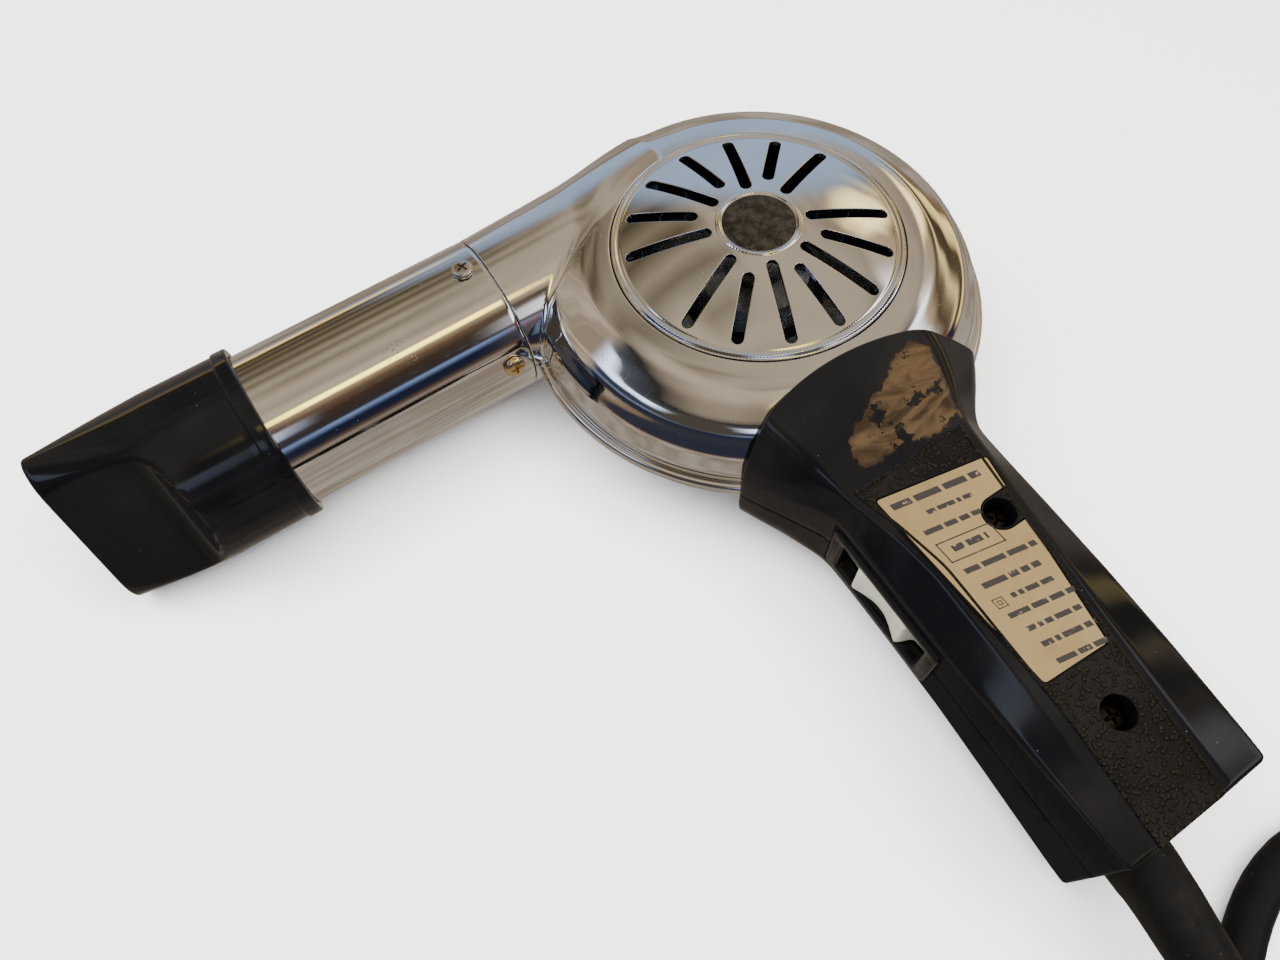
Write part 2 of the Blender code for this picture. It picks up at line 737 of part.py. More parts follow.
def handle_section(station, inset):
    """The closed section of both handle halves at one station, moved in by the inset."""
    y, left, left_h, panel_l, panel_h, panel_r, right_h, right, reach = station
    half = [
        Vector((left + inset, 0.0)),
        Vector((left + inset, left_h - inset / 2)),
        Vector((panel_l + inset / 2, panel_h - inset)),
        Vector((panel_r - inset / 2, panel_h - inset)),
        Vector((right - inset, right_h - inset / 2)),
        Vector((right - inset, 0.0)),
    ]
    half = rounded(half, reach)
    front = [(p.x, y, SEAM_Z + p.y) for p in half]
    rear = [(p.x, y, SEAM_Z - p.y) for p in reversed(half[1:-1])]
    return front + rear


def handle_form(inset, start, end):
    """The handle's solid between two places along it."""
    chosen = [s for s in HANDLE_STATIONS if end <= s[0] <= start]
    return skinned("form", [handle_section(s, inset) for s in chosen])


def boss_places():
    return [Matrix.Translation((x, y, 0)) for x, y in HANDLE_SCREWS]


def handle_half(name, side, finish):
    half = handle_form(0.0, 0.0, HANDLE_END_Y)
    arc = rod("arc", SADDLE_ARC_R, -0.01, 0.06, 96, place=Matrix.Translation((*SADDLE_CENTRE, 0)))
    combine(half, arc, "INTERSECT")
    hollow = handle_form(HANDLE_WALL, -0.0560, -0.1440)
    combine(half, hollow, "DIFFERENCE")
    for place in boss_places():
        combine(half, rod("boss", 0.0044, SEAM_Z - 0.0160, SEAM_Z + 0.0160, 20, place=place), "UNION")
    combine(half, housing_form(-GAP, 0.020), "DIFFERENCE")
    combine(half, ring("groove", 0.050, RIM_R + GAP, SEAM_Z - RIM_HALF - GAP, SEAM_Z + RIM_HALF + GAP,
                       HOUSING_SEGMENTS), "DIFFERENCE")
    channel = box("channel", (-0.0130, -0.060, SEAM_Z - 0.0042), (-0.0040, -0.050, SEAM_Z + 0.0042))
    combine(half, channel, "DIFFERENCE")
    combine(half, box("window", (-0.0176, -0.0079, -0.0030), (0.0176, 0.0079, 0.0060),
                      place=switch_frame()), "DIFFERENCE")
    gland = Matrix.Translation(SLEEVE_EXIT) @ Matrix.Rotation(math.pi / 2, 4, "X")
    combine(half, rod("gland", 0.0059, -0.010, 0.004, 24, place=gland), "DIFFERENCE")
    for place in boss_places():
        combine(half, rod("shank", 0.0016, -0.01, 0.06, 12, place=place), "DIFFERENCE")
        if side > 0:
            combine(half, rod("head", 0.00325, 0.0355, 0.05, 20, place=place), "DIFFERENCE")
        else:
            combine(half, rod("insert", 0.0032, -0.01, 0.0105, 6, place=place), "DIFFERENCE")
    if side > 0:
        combine(half, plate_form(0.0398, 0.05, GAP), "DIFFERENCE")
    combine(half, half_space(side), "INTERSECT")
    return renamed(half, name, finish)


PLATE_CORNERS = ((-0.0206, -0.0691), (0.0053, -0.0740), (-0.0038, -0.1168), (-0.0193, -0.1160))


def plate_form(low, high, outset):
    """The rating plate's outline as an upright prism."""
    centre = Vector((sum(x for x, _ in PLATE_CORNERS) / 4, sum(y for _, y in PLATE_CORNERS) / 4))
    outline = []
    for x, y in PLATE_CORNERS:
        away = Vector((x, y)) - centre
        grown = centre + away * (1 + outset / 0.012)
        outline.append((grown.x, grown.y))
    return skinned("plate", [[(x, y, low) for x, y in outline], [(x, y, high) for x, y in outline]])


def rating_plate(finish):
    plate = plate_form(0.0401, 0.0406, 0.0)
    x, y = HANDLE_SCREWS[0]
    combine(plate, rod("notch", 0.0040, 0.03, 0.05, 20, place=Matrix.Translation((x, y, 0))),
            "DIFFERENCE")
    combine(plate, box("notch", (x, y - 0.0040, 0.03), (x + 0.01, y + 0.0040, 0.05)), "DIFFERENCE")
    return renamed(plate, "rating_plate", finish)


def handle_fasteners(finishes):
    for number, place in enumerate(boss_places(), start=1):
        seat = place @ Matrix.Translation((0, 0, 0.0355 + GAP))
        pan_head_screw(f"handle_screw_{number}", 0.0028, 0.0016, 0.0013, 0.0270, seat, finishes["steel"])
        ring(f"handle_nut_{number}", 0.0019, 0.0028, 0.0080, 0.0102, 6, finishes["brass"], place)


# ---------------------------------------------------------------- switch


def switch_frame():
    """Local X runs down the handle's wall, local Y to the rear, local Z out of the wall."""
    down = Vector((-math.sin(WALL_SLANT), -math.cos(WALL_SLANT), 0))
    out = Vector((-math.cos(WALL_SLANT), math.sin(WALL_SLANT), 0))
    back = out.cross(down)
    turn = Matrix((down, back, out)).transposed().to_4x4()
    return Matrix.Translation(SWITCH_CENTRE) @ turn


def switch(finishes):
    place = switch_frame()
    bezel = box("switch_bezel", (-0.0173, -0.0076, -0.0024), (0.0173, 0.0076, 0.0009),
                finishes["bakelite"], place)
    combine(bezel, box("opening", (-0.0135, -0.0050, -0.01), (0.0135, 0.0050, 0.01), place=place),
            "DIFFERENCE")
    thumb_outline = [
        (-0.0175, -0.0042),
        (0.0175, -0.0042),
        (0.0175, -0.0028),
        (0.0092, -0.0028),
        (0.0078, 0.0014),
        (0.0040, 0.0002),
        (0.0000, -0.0008),
        (-0.0040, 0.0002),
        (-0.0078, 0.0014),
        (-0.0092, -0.0028),
        (-0.0175, -0.0028),
    ]
    sides = [[place @ Vector((x, y, z)) for x, z in thumb_outline] for y in (-0.0044, 0.0044)]
    skinned("switch_slider", sides, finishes["cream"])
    box("switch_body", (-0.0165, -0.0070, -0.0150), (0.0165, 0.0070, -0.0047), finishes["phenolic"],
        place)
    for number, x in enumerate((-0.0100, 0.0100), start=1):
        box(f"switch_terminal_{number}", (x - 0.0015, -0.0004, -0.0195), (x + 0.0015, 0.0004, -0.0153),
            finishes["brass"], place)


# ---------------------------------------------------------------- wiring and cord

SLEEVE_ROUTE = [
    (-0.0205, -0.1485, 0.0231),
    (-0.0212, -0.1570, 0.0224),
    (-0.0221, -0.1660, 0.0207),
    (-0.0226, -0.1760, 0.0184),
    (-0.0227, -0.1860, 0.0161),
    (-0.0226, -0.1950, 0.0139),
]
LEAD_ROUTE = [
    (-0.0226, -0.1955, 0.0137),
    (-0.0224, -0.2050, 0.0107),
    (-0.0219, -0.2160, 0.0072),
    (-0.0198, -0.2280, 0.0050),
    (-0.0120, -0.2430, 0.0042),
    (0.0020, -0.2530, 0.0042),
    (0.0200, -0.2550, 0.0042),
    (0.0370, -0.2470, 0.0042),
    (0.0480, -0.2310, 0.0042),
    (0.0510, -0.2110, 0.0042),
    (0.0450, -0.1900, 0.0042),
    (0.0330, -0.1750, 0.0042),
    (0.0170, -0.1690, 0.0042),
    (0.0015, -0.1712, 0.0042),
    (-0.0130, -0.1785, 0.0042),
    (-0.0250, -0.1880, 0.0042),
    (-0.0313, -0.1946, 0.0042),
    (-0.0358, -0.2025, 0.0042),
    (-0.0380, -0.2110, 0.0042),
]


MOTOR_LEAD_ROUTE = [
    (-0.0145, -0.0650, 0.0211),
    (-0.0121, -0.0610, 0.0217),
    (-0.0104, -0.0560, 0.0221),
    (-0.0100, -0.0500, 0.0222),
    (-0.0110, -0.0400, 0.0210),
    (-0.0140, -0.0280, 0.0198),
    (-0.0168, -0.0160, 0.0194),
    (-0.0171, -0.0103, 0.0194),
]
HEATER_LEAD_ROUTE = [
    (-0.0105, -0.0650, 0.0251),
    (-0.0089, -0.0610, 0.0245),
    (-0.0078, -0.0560, 0.0242),
    (-0.0090, -0.0518, 0.0240),
    (-0.0262, -0.0450, 0.0240),
    (-0.0400, -0.0333, 0.0236),
    (-0.0470, -0.0177, 0.0230),
    (-0.0478, 0.0000, 0.0228),
    (-0.0462, 0.0120, 0.0228),
    (-0.0490, 0.0215, 0.0228),
    (-0.0600, 0.0265, 0.0234),
    (-0.0700, 0.0265, 0.0240),
]


def route_points(route, per_span, step):
    return spaced(smooth_curve(route, per_span), step)


def swept(name, route, radii, finish, count=16):
    """A round piece along a route whose radius changes, with flat ends."""
    line = [Vector(p) for p in route]
    rings = []
    for k, point in enumerate(line):
        ahead = line[min(k + 1, len(line) - 1)] - line[max(k - 1, 0)]
        side = ahead.cross(Vector((0, 0, 1))).normalized()
        up = side.cross(ahead).normalized()
        rings.append(
            [
                point + radii[k] * (math.cos(2 * math.pi * n / count) * side
                                    + math.sin(2 * math.pi * n / count) * up)
                for n in range(count)
            ]
        )
    return skinned(name, rings, finish)


def cord_sleeve(finish):
    """Rubber sleeve: a flange inside the handle, a neck through its wall and a tapered tail."""
    x, y, z = SLEEVE_EXIT
    route = [(x, -0.1385, z), (x, -0.1412, z), (x, -0.1413, z), (x, -0.1488, z), (x, -0.1489, z)]
    radii = [0.0064, 0.0064, 0.0055, 0.0055, 0.0069]
    outside = smooth_curve([(x, -0.1490, z), *SLEEVE_ROUTE[1:]], 2)
    count = len(outside)
    for k, point in enumerate(outside[1:], start=1):
        route.append(point)
        radii.append(0.0068 - 0.0020 * k / (count - 1))
    return swept("cord_sleeve", route, radii, finish)


def wiring(finishes):
    x, _, z = SLEEVE_EXIT
    wire("inner_cable", [(x, -0.1382, z), (x, -0.1350, z), (x, -0.1320, z)], 0.0036, finishes["rubber"])
    box("cord_clamp", (x - 0.0040, -0.1378, z + 0.0040), (x + 0.0072, -0.1338, z + 0.0062),
        finishes["phenolic"])
    for number, side in enumerate((-1, 1), start=1):
        points = smooth_curve(
            [
                (x + 0.0015 * side, -0.1315, z),
                (x + 0.0022 * side, -0.1230, z + 0.0020 * side),
                (x + 0.0030 + 0.0016 * side, -0.1120, z + 0.0024 * side),
                (x + 0.0040 + 0.0016 * side, -0.1035, z + 0.0024 * side),
            ],
            3,
        )
        wire(f"supply_lead_{number}", points, 0.0009, finishes["rubber"])
    for name, route in (("motor_lead", MOTOR_LEAD_ROUTE), ("heater_lead", HEATER_LEAD_ROUTE)):
        wire(name, smooth_curve(route, 3), 0.0009, finishes["rubber"])


def coil_ring(finish):
    """The coiled length's outer shape: a turned ring with rounded shoulders."""
    inner = COIL_R - COIL_HALF_WIDTH
    outer = COIL_R + COIL_HALF_WIDTH
    cut = 0.0040
    profile = [
        (inner + cut, 0.0001),
        (outer - cut, 0.0001),
        (outer, cut),
        (outer, COIL_HEIGHT - 0.0080),
        (outer - 0.0060, COIL_HEIGHT),
        (inner + 0.0060, COIL_HEIGHT),
        (inner, COIL_HEIGHT - 0.0080),
        (inner, cut),
    ]
    coil = turned("cord_coil", profile, 32, finish, Matrix.Translation((*COIL_CENTRE, 0)))
    x, y = COIL_CENTRE
    low = y + inner - 0.002
    high = y + outer + 0.002
    notch = box("notch", (x - 0.0034, low, -0.01), (x + 0.0034, high, 0.0001 + TIE_SHEET + 2 * GAP))
    return combine(coil, notch, "DIFFERENCE")


TAIL_RADIUS = 0.0350
TAIL_START = Vector((-0.1250, -0.3000, 0.0042))
TAIL_TURN = math.radians(40)


def tail_points():
    """The cord's last stretch: an arc from the coil that rises a little into the plug."""
    centre = TAIL_START + Vector((0, TAIL_RADIUS, 0))
    points = []
    for k in range(9):
        share = k / 8
        angle = -math.pi / 2 - TAIL_TURN * share
        rise = 0.0020 * share**2 * (3 - 2 * share)
        points.append(centre + Vector((TAIL_RADIUS * math.cos(angle), TAIL_RADIUS * math.sin(angle), rise)))
    return points


def plug(finishes):
    """A flat two-pin plug that lies beside the coil; local Z runs from the cord to the pins."""
    end = tail_points()[-1]
    ahead = Vector((-math.cos(TAIL_TURN), math.sin(TAIL_TURN), 0.0))
    side = Vector((0, 0, 1)).cross(ahead)
    turn = Matrix((side, ahead.cross(side), ahead)).transposed().to_4x4()
    place = Matrix.Translation(end) @ turn
    sections = [
        (2 * GAP, 0.0048, 0.0048),
        (0.0110, 0.0056, 0.0054),
        (0.0150, 0.0100, 0.0060),
        (0.0240, 0.0128, 0.0061),
        (0.0400, 0.0128, 0.0061),
        (0.0410, 0.0120, 0.0054),
    ]
    rings = []
    for height, half_width, half_depth in sections:
        rings.append([
            (half_width * math.cos(math.pi * k / 10), half_depth * math.sin(math.pi * k / 10), height)
            for k in range(20)
        ])
    skinned("plug_body", rings, finishes["rubber"], place)
    for number, x in enumerate((-0.0080, 0.0080), start=1):
        pin = Matrix.Translation((x, 0, 0))
        profile = [(0.0, 0.0413), (0.0020, 0.0413), (0.0020, 0.0588), (0.0010, 0.0600), (0.0, 0.0600)]
        turned(f"plug_pin_{number}", profile, 12, finishes["brass"], place @ pin)


def cord_tie(finish):
    """A band round the coil's bundle, on the side away from the plug."""
    x, y = COIL_CENTRE
    place = Matrix.Translation((x, y + COIL_R, 0))
    half = COIL_HALF_WIDTH + GAP
    low = 0.0001 + TIE_SHEET
    high = COIL_HEIGHT + GAP
    inside = [(-half, low), (half, low), (half, high), (-half, high)]
    half += TIE_SHEET
    low -= TIE_SHEET
    high += TIE_SHEET
    outside = [(-half, low), (half, low), (half, high), (-half, high)]
    rings = [
        [(side * TIE_HALF_WIDTH, v, h) for v, h in outline]
        for side, outline in ((-1, inside), (-1, outside), (1, outside), (1, inside))
    ]
    return skinned("cord_tie", rings, finish, place, closed=True)


def build():
    clear_scene()
    finishes = {
        "chrome": material("chrome", (0.62, 0.60, 0.57), 0.10, 1.0),
        "badge": material("badge", (0.33, 0.30, 0.25), 0.45, 1.0),
        "bakelite": material("bakelite", (0.012, 0.012, 0.013), 0.12),
        "rubber": material("rubber", (0.025, 0.025, 0.026), 0.60),
        "brass": material("brass", (0.72, 0.58, 0.34), 0.35, 1.0),
        "steel": material("steel", (0.55, 0.52, 0.48), 0.30, 1.0),
        "zinc": material("zinc", (0.50, 0.51, 0.53), 0.45, 1.0),
        "bronze": material("bronze", (0.55, 0.38, 0.22), 0.40, 1.0),
        "copper": material("copper", (0.60, 0.25, 0.12), 0.35, 1.0),
        "lamination": material("lamination", (0.24, 0.25, 0.27), 0.50, 1.0),
        "aluminium": material("aluminium", (0.55, 0.58, 0.62), 0.40, 1.0),
        "mica": material("mica", (0.62, 0.52, 0.36), 0.40),
        "resistance": material("resistance", (0.40, 0.37, 0.35), 0.50, 1.0),
        "cream": material("cream", (0.62, 0.55, 0.44), 0.35),
        "phenolic": material("phenolic", (0.10, 0.045, 0.02), 0.45),
        "tie": material("tie", (0.03, 0.03, 0.03), 0.50),
    }
    housing_half("front_shell", 1, finishes["chrome"])
    housing_half("rear_shell", -1, finishes["chrome"])
    inlet_grille(finishes["chrome"])
    grille_badge(finishes["badge"])
    rear_cover(finishes["chrome"])
    for number, place in enumerate(cover_screw_places(), start=1):
        pan_head_screw(f"cover_screw_{number}", 0.0019, 0.0012, 0.0009, 0.0010, place, finishes["steel"])
    barrel(finishes["chrome"])
    barrel_spigot(finishes["zinc"])
    barrel_screws(finishes["steel"])
    heater(finishes["mica"], finishes["resistance"], finishes["mica"], finishes["zinc"])
    nozzle(finishes["bakelite"])
    motor(finishes)
    rotor(finishes)
    brackets(finishes)
    shading_rings(finishes["copper"])
    impeller(finishes["aluminium"])
    ring("impeller_nut", 0.0027, 0.0044, 0.0352, 0.0378, 6, finishes["brass"])
    handle_half("handle_front", 1, finishes["bakelite"])
    handle_half("handle_rear", -1, finishes["bakelite"])
    rating_plate(finishes["brass"])
    handle_fasteners(finishes)
    switch(finishes)
    cord_sleeve(finishes["rubber"])
    wiring(finishes)
    wire("power_cord", route_points(LEAD_ROUTE, 6, 0.012), CORD_R, finishes["rubber"], 2)
    coil_ring(finishes["rubber"])
    cord_tie(finishes["tie"])
    wire("cord_tail", tail_points(), CORD_R, finishes["rubber"], 2)
    plug(finishes)


build()
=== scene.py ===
import math

import bmesh
import bpy
import numpy as np
from mathutils import Matrix, Vector
from mathutils.geometry import delaunay_2d_cdt


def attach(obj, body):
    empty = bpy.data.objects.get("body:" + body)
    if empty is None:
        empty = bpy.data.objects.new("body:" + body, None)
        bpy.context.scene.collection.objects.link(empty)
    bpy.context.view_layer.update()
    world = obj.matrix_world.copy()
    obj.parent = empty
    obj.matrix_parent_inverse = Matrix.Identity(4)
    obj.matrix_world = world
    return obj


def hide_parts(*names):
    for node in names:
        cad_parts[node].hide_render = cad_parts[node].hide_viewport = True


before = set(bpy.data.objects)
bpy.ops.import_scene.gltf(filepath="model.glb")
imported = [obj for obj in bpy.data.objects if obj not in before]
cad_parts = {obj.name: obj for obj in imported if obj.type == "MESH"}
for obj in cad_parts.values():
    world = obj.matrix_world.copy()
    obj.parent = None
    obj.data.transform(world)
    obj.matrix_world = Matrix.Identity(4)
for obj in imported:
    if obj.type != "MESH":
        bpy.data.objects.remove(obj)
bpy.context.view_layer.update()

# driving dimensions in metres: the origin is under the fan, on the rear cover's face
MM = 0.001
SEAM_Z = 0.0231  # the plane between the two halves, and the barrel's axis
RING_Z = 0.0435  # plane of the inlet ring
BARREL_Y = 0.03225
BARREL_R = 0.0200
TUBE_END = 0.1280
CORD_R = 0.0041
COIL_CENTRE = Vector((-0.0981, -0.2352, 0.0))
COIL_R = 0.0480  # the middle of the turns

# the same in millimetres, for the meshes
SEAM_MM = SEAM_Z / MM
RING_MM = RING_Z / MM
BARREL_MM = BARREL_Y / MM
BARREL_R_MM = BARREL_R / MM


# ---------------------------------------------------------------- node trees


class Nodes:
    """A node tree with short calls for its nodes, whose textures are laid on one coordinate."""

    def __init__(self, tree, coordinate):
        self.tree = tree
        self.place = self.node("ShaderNodeTexCoord").outputs[coordinate]

    def node(self, kind, inputs=None, **settings):
        made = self.tree.nodes.new(kind)
        for key, value in settings.items():
            setattr(made, key, value)
        for key, value in (inputs or {}).items():
            if isinstance(value, bpy.types.NodeSocket):
                self.tree.links.new(value, made.inputs[key])
            else:
                made.inputs[key].default_value = value
        return made

    def stretched(self, scale, turn=(0.0, 0.0, 0.0), move=(0.0, 0.0, 0.0)):
        inputs = {"Vector": self.place, "Scale": scale, "Rotation": turn, "Location": move}
        return self.node("ShaderNodeMapping", inputs).outputs["Vector"]

    def noise(self, scale, detail=3.0, vector=None, roughness=0.5, distortion=0.0):
        inputs = {
            "Vector": vector or self.place,
            "Scale": scale,
            "Detail": detail,
            "Roughness": roughness,
            "Distortion": distortion,
        }
        return self.node("ShaderNodeTexNoise", inputs).outputs["Fac"]

    def cells(self, scale, feature="F1", vector=None, output="Distance", **more):
        inputs = {"Vector": vector or self.place, "Scale": scale, **more}
        return self.node("ShaderNodeTexVoronoi", inputs, feature=feature).outputs[output]

    def ranged(self, value, low, high, to_low=0.0, to_high=1.0):
        inputs = {"Value": value, "From Min": low, "From Max": high, "To Min": to_low, "To Max": to_high}
        return self.node("ShaderNodeMapRange", inputs, interpolation_type="SMOOTHSTEP").outputs["Result"]

    def maths(self, operation, a, b=0.0):
        return self.node("ShaderNodeMath", {0: a, 1: b}, operation=operation).outputs["Value"]

    def mixed(self, share, a, b, amount=None):
        """Colour a where share is 0 and colour b, or an amount of it, where it is 1."""
        inputs = {0: share if amount is None else self.maths("MULTIPLY", share, amount)}
        for index, colour in ((6, a), (7, b)):
            inputs[index] = colour if isinstance(colour, bpy.types.NodeSocket) else (*colour, 1.0)
        return self.node("ShaderNodeMix", inputs, data_type="RGBA").outputs[2]

    def bump(self, height, distance, strength=1.0, normal=None):
        inputs = {"Height": height, "Distance": distance, "Strength": strength}
        if normal:
            inputs["Normal"] = normal
        return self.node("ShaderNodeBump", inputs).outputs["Normal"]

    def specks(self, scale, size, chance):
        """1 inside scattered dots: size is their radius in cells, chance the share of cells with one."""
        away = self.cells(scale)
        pick = self.cells(scale, output="Color")
        dot = self.ranged(away, size, size * 0.6)
        return self.maths("MULTIPLY", dot, self.maths("LESS_THAN", pick, chance))


class Finish(Nodes):
    """A material on one Principled shader."""

    def __init__(self, name, colour, roughness, metallic=0.0, **more):
        self.material = bpy.data.materials.new(name)
        self.material.use_nodes = True
        super().__init__(self.material.node_tree, "Object")
        self.shader = self.tree.nodes["Principled BSDF"]
        self.set("Base Color", (*colour, 1.0))
        self.set("Roughness", roughness)
        self.set("Metallic", metallic)
        for socket, value in more.items():
            self.set(socket.replace("_", " "), value)

    def set(self, socket, value):
        """A constant or another node's output on one of the shader's inputs."""
        if isinstance(value, bpy.types.NodeSocket):
            self.tree.links.new(value, self.shader.inputs[socket])
        else:
            self.shader.inputs[socket].default_value = value

    def made(self, colour, roughness, normal):
        """The material, once its three main looks are known."""
        self.set("Base Color", colour)
        self.set("Roughness", roughness)
        self.set("Normal", normal)
        return self.material


# ---------------------------------------------------------------- materials


def chrome():
    """Old bright plating: hazy patches, fine scratches, dark pits and a little rust."""
    tint = (0.72, 0.70, 0.67)
    f = Finish("chrome", tint, 0.07, 1.0)
    haze = f.noise(55.0, 4.0)
    patch = f.ranged(haze, 0.35, 0.75)
    pits = f.specks(900.0, 0.16, 0.06)
    clusters = f.ranged(f.noise(70.0, 2.0), 0.60, 0.72)
    rust = f.maths("MULTIPLY", f.specks(1500.0, 0.30, 0.45), clusters)
    dust = f.specks(1300.0, 0.17, 0.05)
    colour = f.mixed(patch, tint, tuple(c * 0.90 for c in tint))
    colour = f.mixed(dust, colour, (0.85, 0.82, 0.76), 0.18)
    colour = f.mixed(pits, colour, (0.030, 0.022, 0.018))
    colour = f.mixed(rust, colour, (0.030, 0.014, 0.007))
    spoilt = f.maths("MAXIMUM", pits, rust)
    f.set("Metallic", f.ranged(spoilt, 0.0, 1.0, 1.0, 0.8))
    scratch = f.noise(240.0, 2.0, f.stretched((1.0, 14.0, 3.0), (0.2, 0.4, 0.9)))
    rough = f.maths("ADD", f.ranged(patch, 0.0, 1.0, 0.045, 0.10), f.ranged(spoilt, 0.0, 1.0, 0.0, 0.5))
    rough = f.maths("ADD", rough, f.ranged(scratch, 0.62, 0.72, 0.0, 0.08))
    return f.made(colour, rough, f.bump(f.noise(26.0, 1.0), 0.00012, 0.35))


def bakelite(name="bakelite", worn=None):
    """Polished black moulding with dust, lint and hairline scratches."""
    black = (0.0022, 0.0022, 0.0026)
    f = Finish(name, black, 0.10, 0.0, IOR=1.27)
    dust = f.specks(900.0, 0.11, 0.10)
    lint = f.maths("ABSOLUTE", f.maths("SUBTRACT", f.noise(75.0, 1.0, None, 0.5, 3.0), 0.5))
    lint = f.maths("MULTIPLY", f.ranged(lint, 0.0035, 0.0010), f.ranged(f.noise(52.0, 1.0), 0.70, 0.74))
    film = f.ranged(f.noise(38.0, 4.0), 0.42, 0.80)
    marks = f.maths("MAXIMUM", dust, lint)
    colour = f.mixed(film, black, (0.010, 0.009, 0.008), 0.5)
    colour = f.mixed(marks, colour, (0.11, 0.10, 0.08), 0.55)
    rough = f.ranged(film, 0.0, 1.0, 0.075, 0.21)
    rough = f.maths("ADD", rough, f.maths("MULTIPLY", marks, 0.4))
    wave = f.bump(f.noise(60.0, 2.0), 0.00010, 0.25)
    if worn:
        share, colour_worn, rough_worn, height = worn(f)
        colour = f.mixed(share, colour, colour_worn)
        rough = f.node("ShaderNodeMix", {0: share, 2: rough, 3: rough_worn}, data_type="FLOAT").outputs[0]
        wave = f.bump(height, 0.00025, 0.7, wave)
    return f.made(colour, rough, wave)


def worn_patch(f):
    """The saddle's rubbed patch: brown moulding powder showing, with ragged dark spots left."""
    share = f.node("ShaderNodeAttribute", attribute_name="worn").outputs["Fac"]
    ragged = f.noise(330.0, 5.0, None, 0.65)
    islands = f.ranged(f.noise(210.0, 4.0, None, 0.6), 0.585, 0.605)
    edge = f.maths("ADD", share, f.maths("MULTIPLY", f.maths("SUBTRACT", ragged, 0.5), 0.9))
    rubbed = f.ranged(edge, 0.52, 0.60)
    rubbed = f.maths("MULTIPLY", rubbed, f.maths("SUBTRACT", 1.0, islands))
    streak = f.noise(60.0, 4.0, f.stretched((1.0, 3.5, 3.5), (0.0, 0.0, 0.5)), 0.6, 1.5)
    tone = f.mixed(f.ranged(streak, 0.35, 0.65), (0.012, 0.0068, 0.0028), (0.040, 0.024, 0.0105))
    tone = f.mixed(f.ranged(share, 0.3, 0.8), (0.014, 0.0085, 0.005), tone)
    height = f.maths("SUBTRACT", 1.0, rubbed)
    return rubbed, tone, 0.26, height


def satin():
    """The side wall's duller moulding, rubbed and dusty."""
    f = Finish("bakelite_satin", (0.003, 0.003, 0.0033), 0.34, 0.0, IOR=1.06)
    film = f.ranged(f.noise(50.0, 4.0), 0.40, 0.75)
    shade = f.mixed(film, (0.003, 0.003, 0.0035), (0.0065, 0.006, 0.0055))
    shade = f.mixed(f.specks(1100.0, 0.14, 0.10), shade, (0.10, 0.09, 0.075), 0.5)
    return f.made(shade, f.ranged(film, 0.0, 1.0, 0.26, 0.42), f.bump(f.noise(1300.0, 3.0), 0.00002, 0.5))


def pebble():
    """The moulded leather grain of the handle's panels: painted shade in its hollows, a painted highlight on
    its lumps' tops, and dust specks.
    """
    f = Finish("bakelite_pebble", (0.003, 0.0027, 0.0024), 0.3, 0.0, IOR=1.30)
    shift = f.node("ShaderNodeTexNoise", {"Vector": f.place, "Scale": 700.0}).outputs["Color"]
    shift = f.node("ShaderNodeVectorMath", {0: shift, 1: (0.0007,) * 3}, operation="MULTIPLY").outputs[0]
    warped = f.node("ShaderNodeVectorMath", {0: f.place, 1: shift}, operation="ADD").outputs[0]
    grain = f.cells(980.0, "SMOOTH_F1", warped, Smoothness=0.35)
    lump = f.ranged(grain, 0.12, 0.58, 1.0, 0.0)
    fine = f.noise(2600.0, 2.0)
    height = f.maths("ADD", lump, f.maths("MULTIPLY", fine, 0.18))
    # painted shade and highlight: the hollows are coloured darker and the lumps' tops lighter, for the
    # grain's shade and glints; grime only varies how strongly this painted contrast shows
    grime = f.ranged(f.noise(45.0, 3.0), 0.35, 0.75)
    hollow = f.ranged(lump, 0.45, 0.10)
    colour = f.mixed(hollow, (0.0075, 0.0062, 0.0045), (0.0015, 0.0012, 0.0010),
                     f.ranged(grime, 0.0, 1.0, 0.6, 1.0))
    colour = f.mixed(f.specks(1500.0, 0.2, 0.08), colour, (0.07, 0.055, 0.035), 0.7)
    return f.made(colour, f.ranged(hollow, 0.0, 1.0, 0.30, 0.7), f.bump(height, 0.00070, 1.0))


def rubber(name, colour=(0.020, 0.019, 0.018), grime=(0.075, 0.058, 0.040), amount=0.5):
    """Dusty old rubber with brownish rubbed patches and a faint fine grain."""
    f = Finish(name, colour, 0.5, 0.0, IOR=1.18)
    rubbed = f.ranged(f.noise(48.0, 5.0, None, 0.62), 0.48, 0.78)
    dots = f.specks(1100.0, 0.20, 0.16)
    shade = f.mixed(rubbed, colour, grime, amount)
    shade = f.mixed(dots, shade, (0.05, 0.042, 0.032), 0.5)
    rough = f.ranged(f.noise(130.0, 3.0), 0.3, 0.7, 0.40, 0.62)
    return f.made(shade, rough, f.bump(f.noise(900.0, 4.0), 0.00006, 0.6))


def metal(name, colour, roughness, grime=(0.05, 0.035, 0.02), share=0.5, lines=None):
    """Plain worked metal: brushed or cast grain, tarnish and handling marks."""
    f = Finish(name, colour, roughness, 1.0)
    tarnish = f.ranged(f.noise(110.0, 5.0, None, 0.6), 0.42, 0.80)
    shade = f.mixed(tarnish, colour, grime, share)
    grain = f.noise(1400.0, 2.0, f.stretched(lines or (1.0, 1.0, 1.0)))
    colour = f.mixed(f.ranged(grain, 0.4, 0.7, 0.0, 0.18), shade, tuple(0.6 * c for c in colour))
    rough = f.ranged(f.maths("ADD", tarnish, grain), 0.3, 1.5, roughness * 0.8, roughness + 0.25)
    return f.made(colour, rough, f.bump(grain, 0.00003, 0.5))


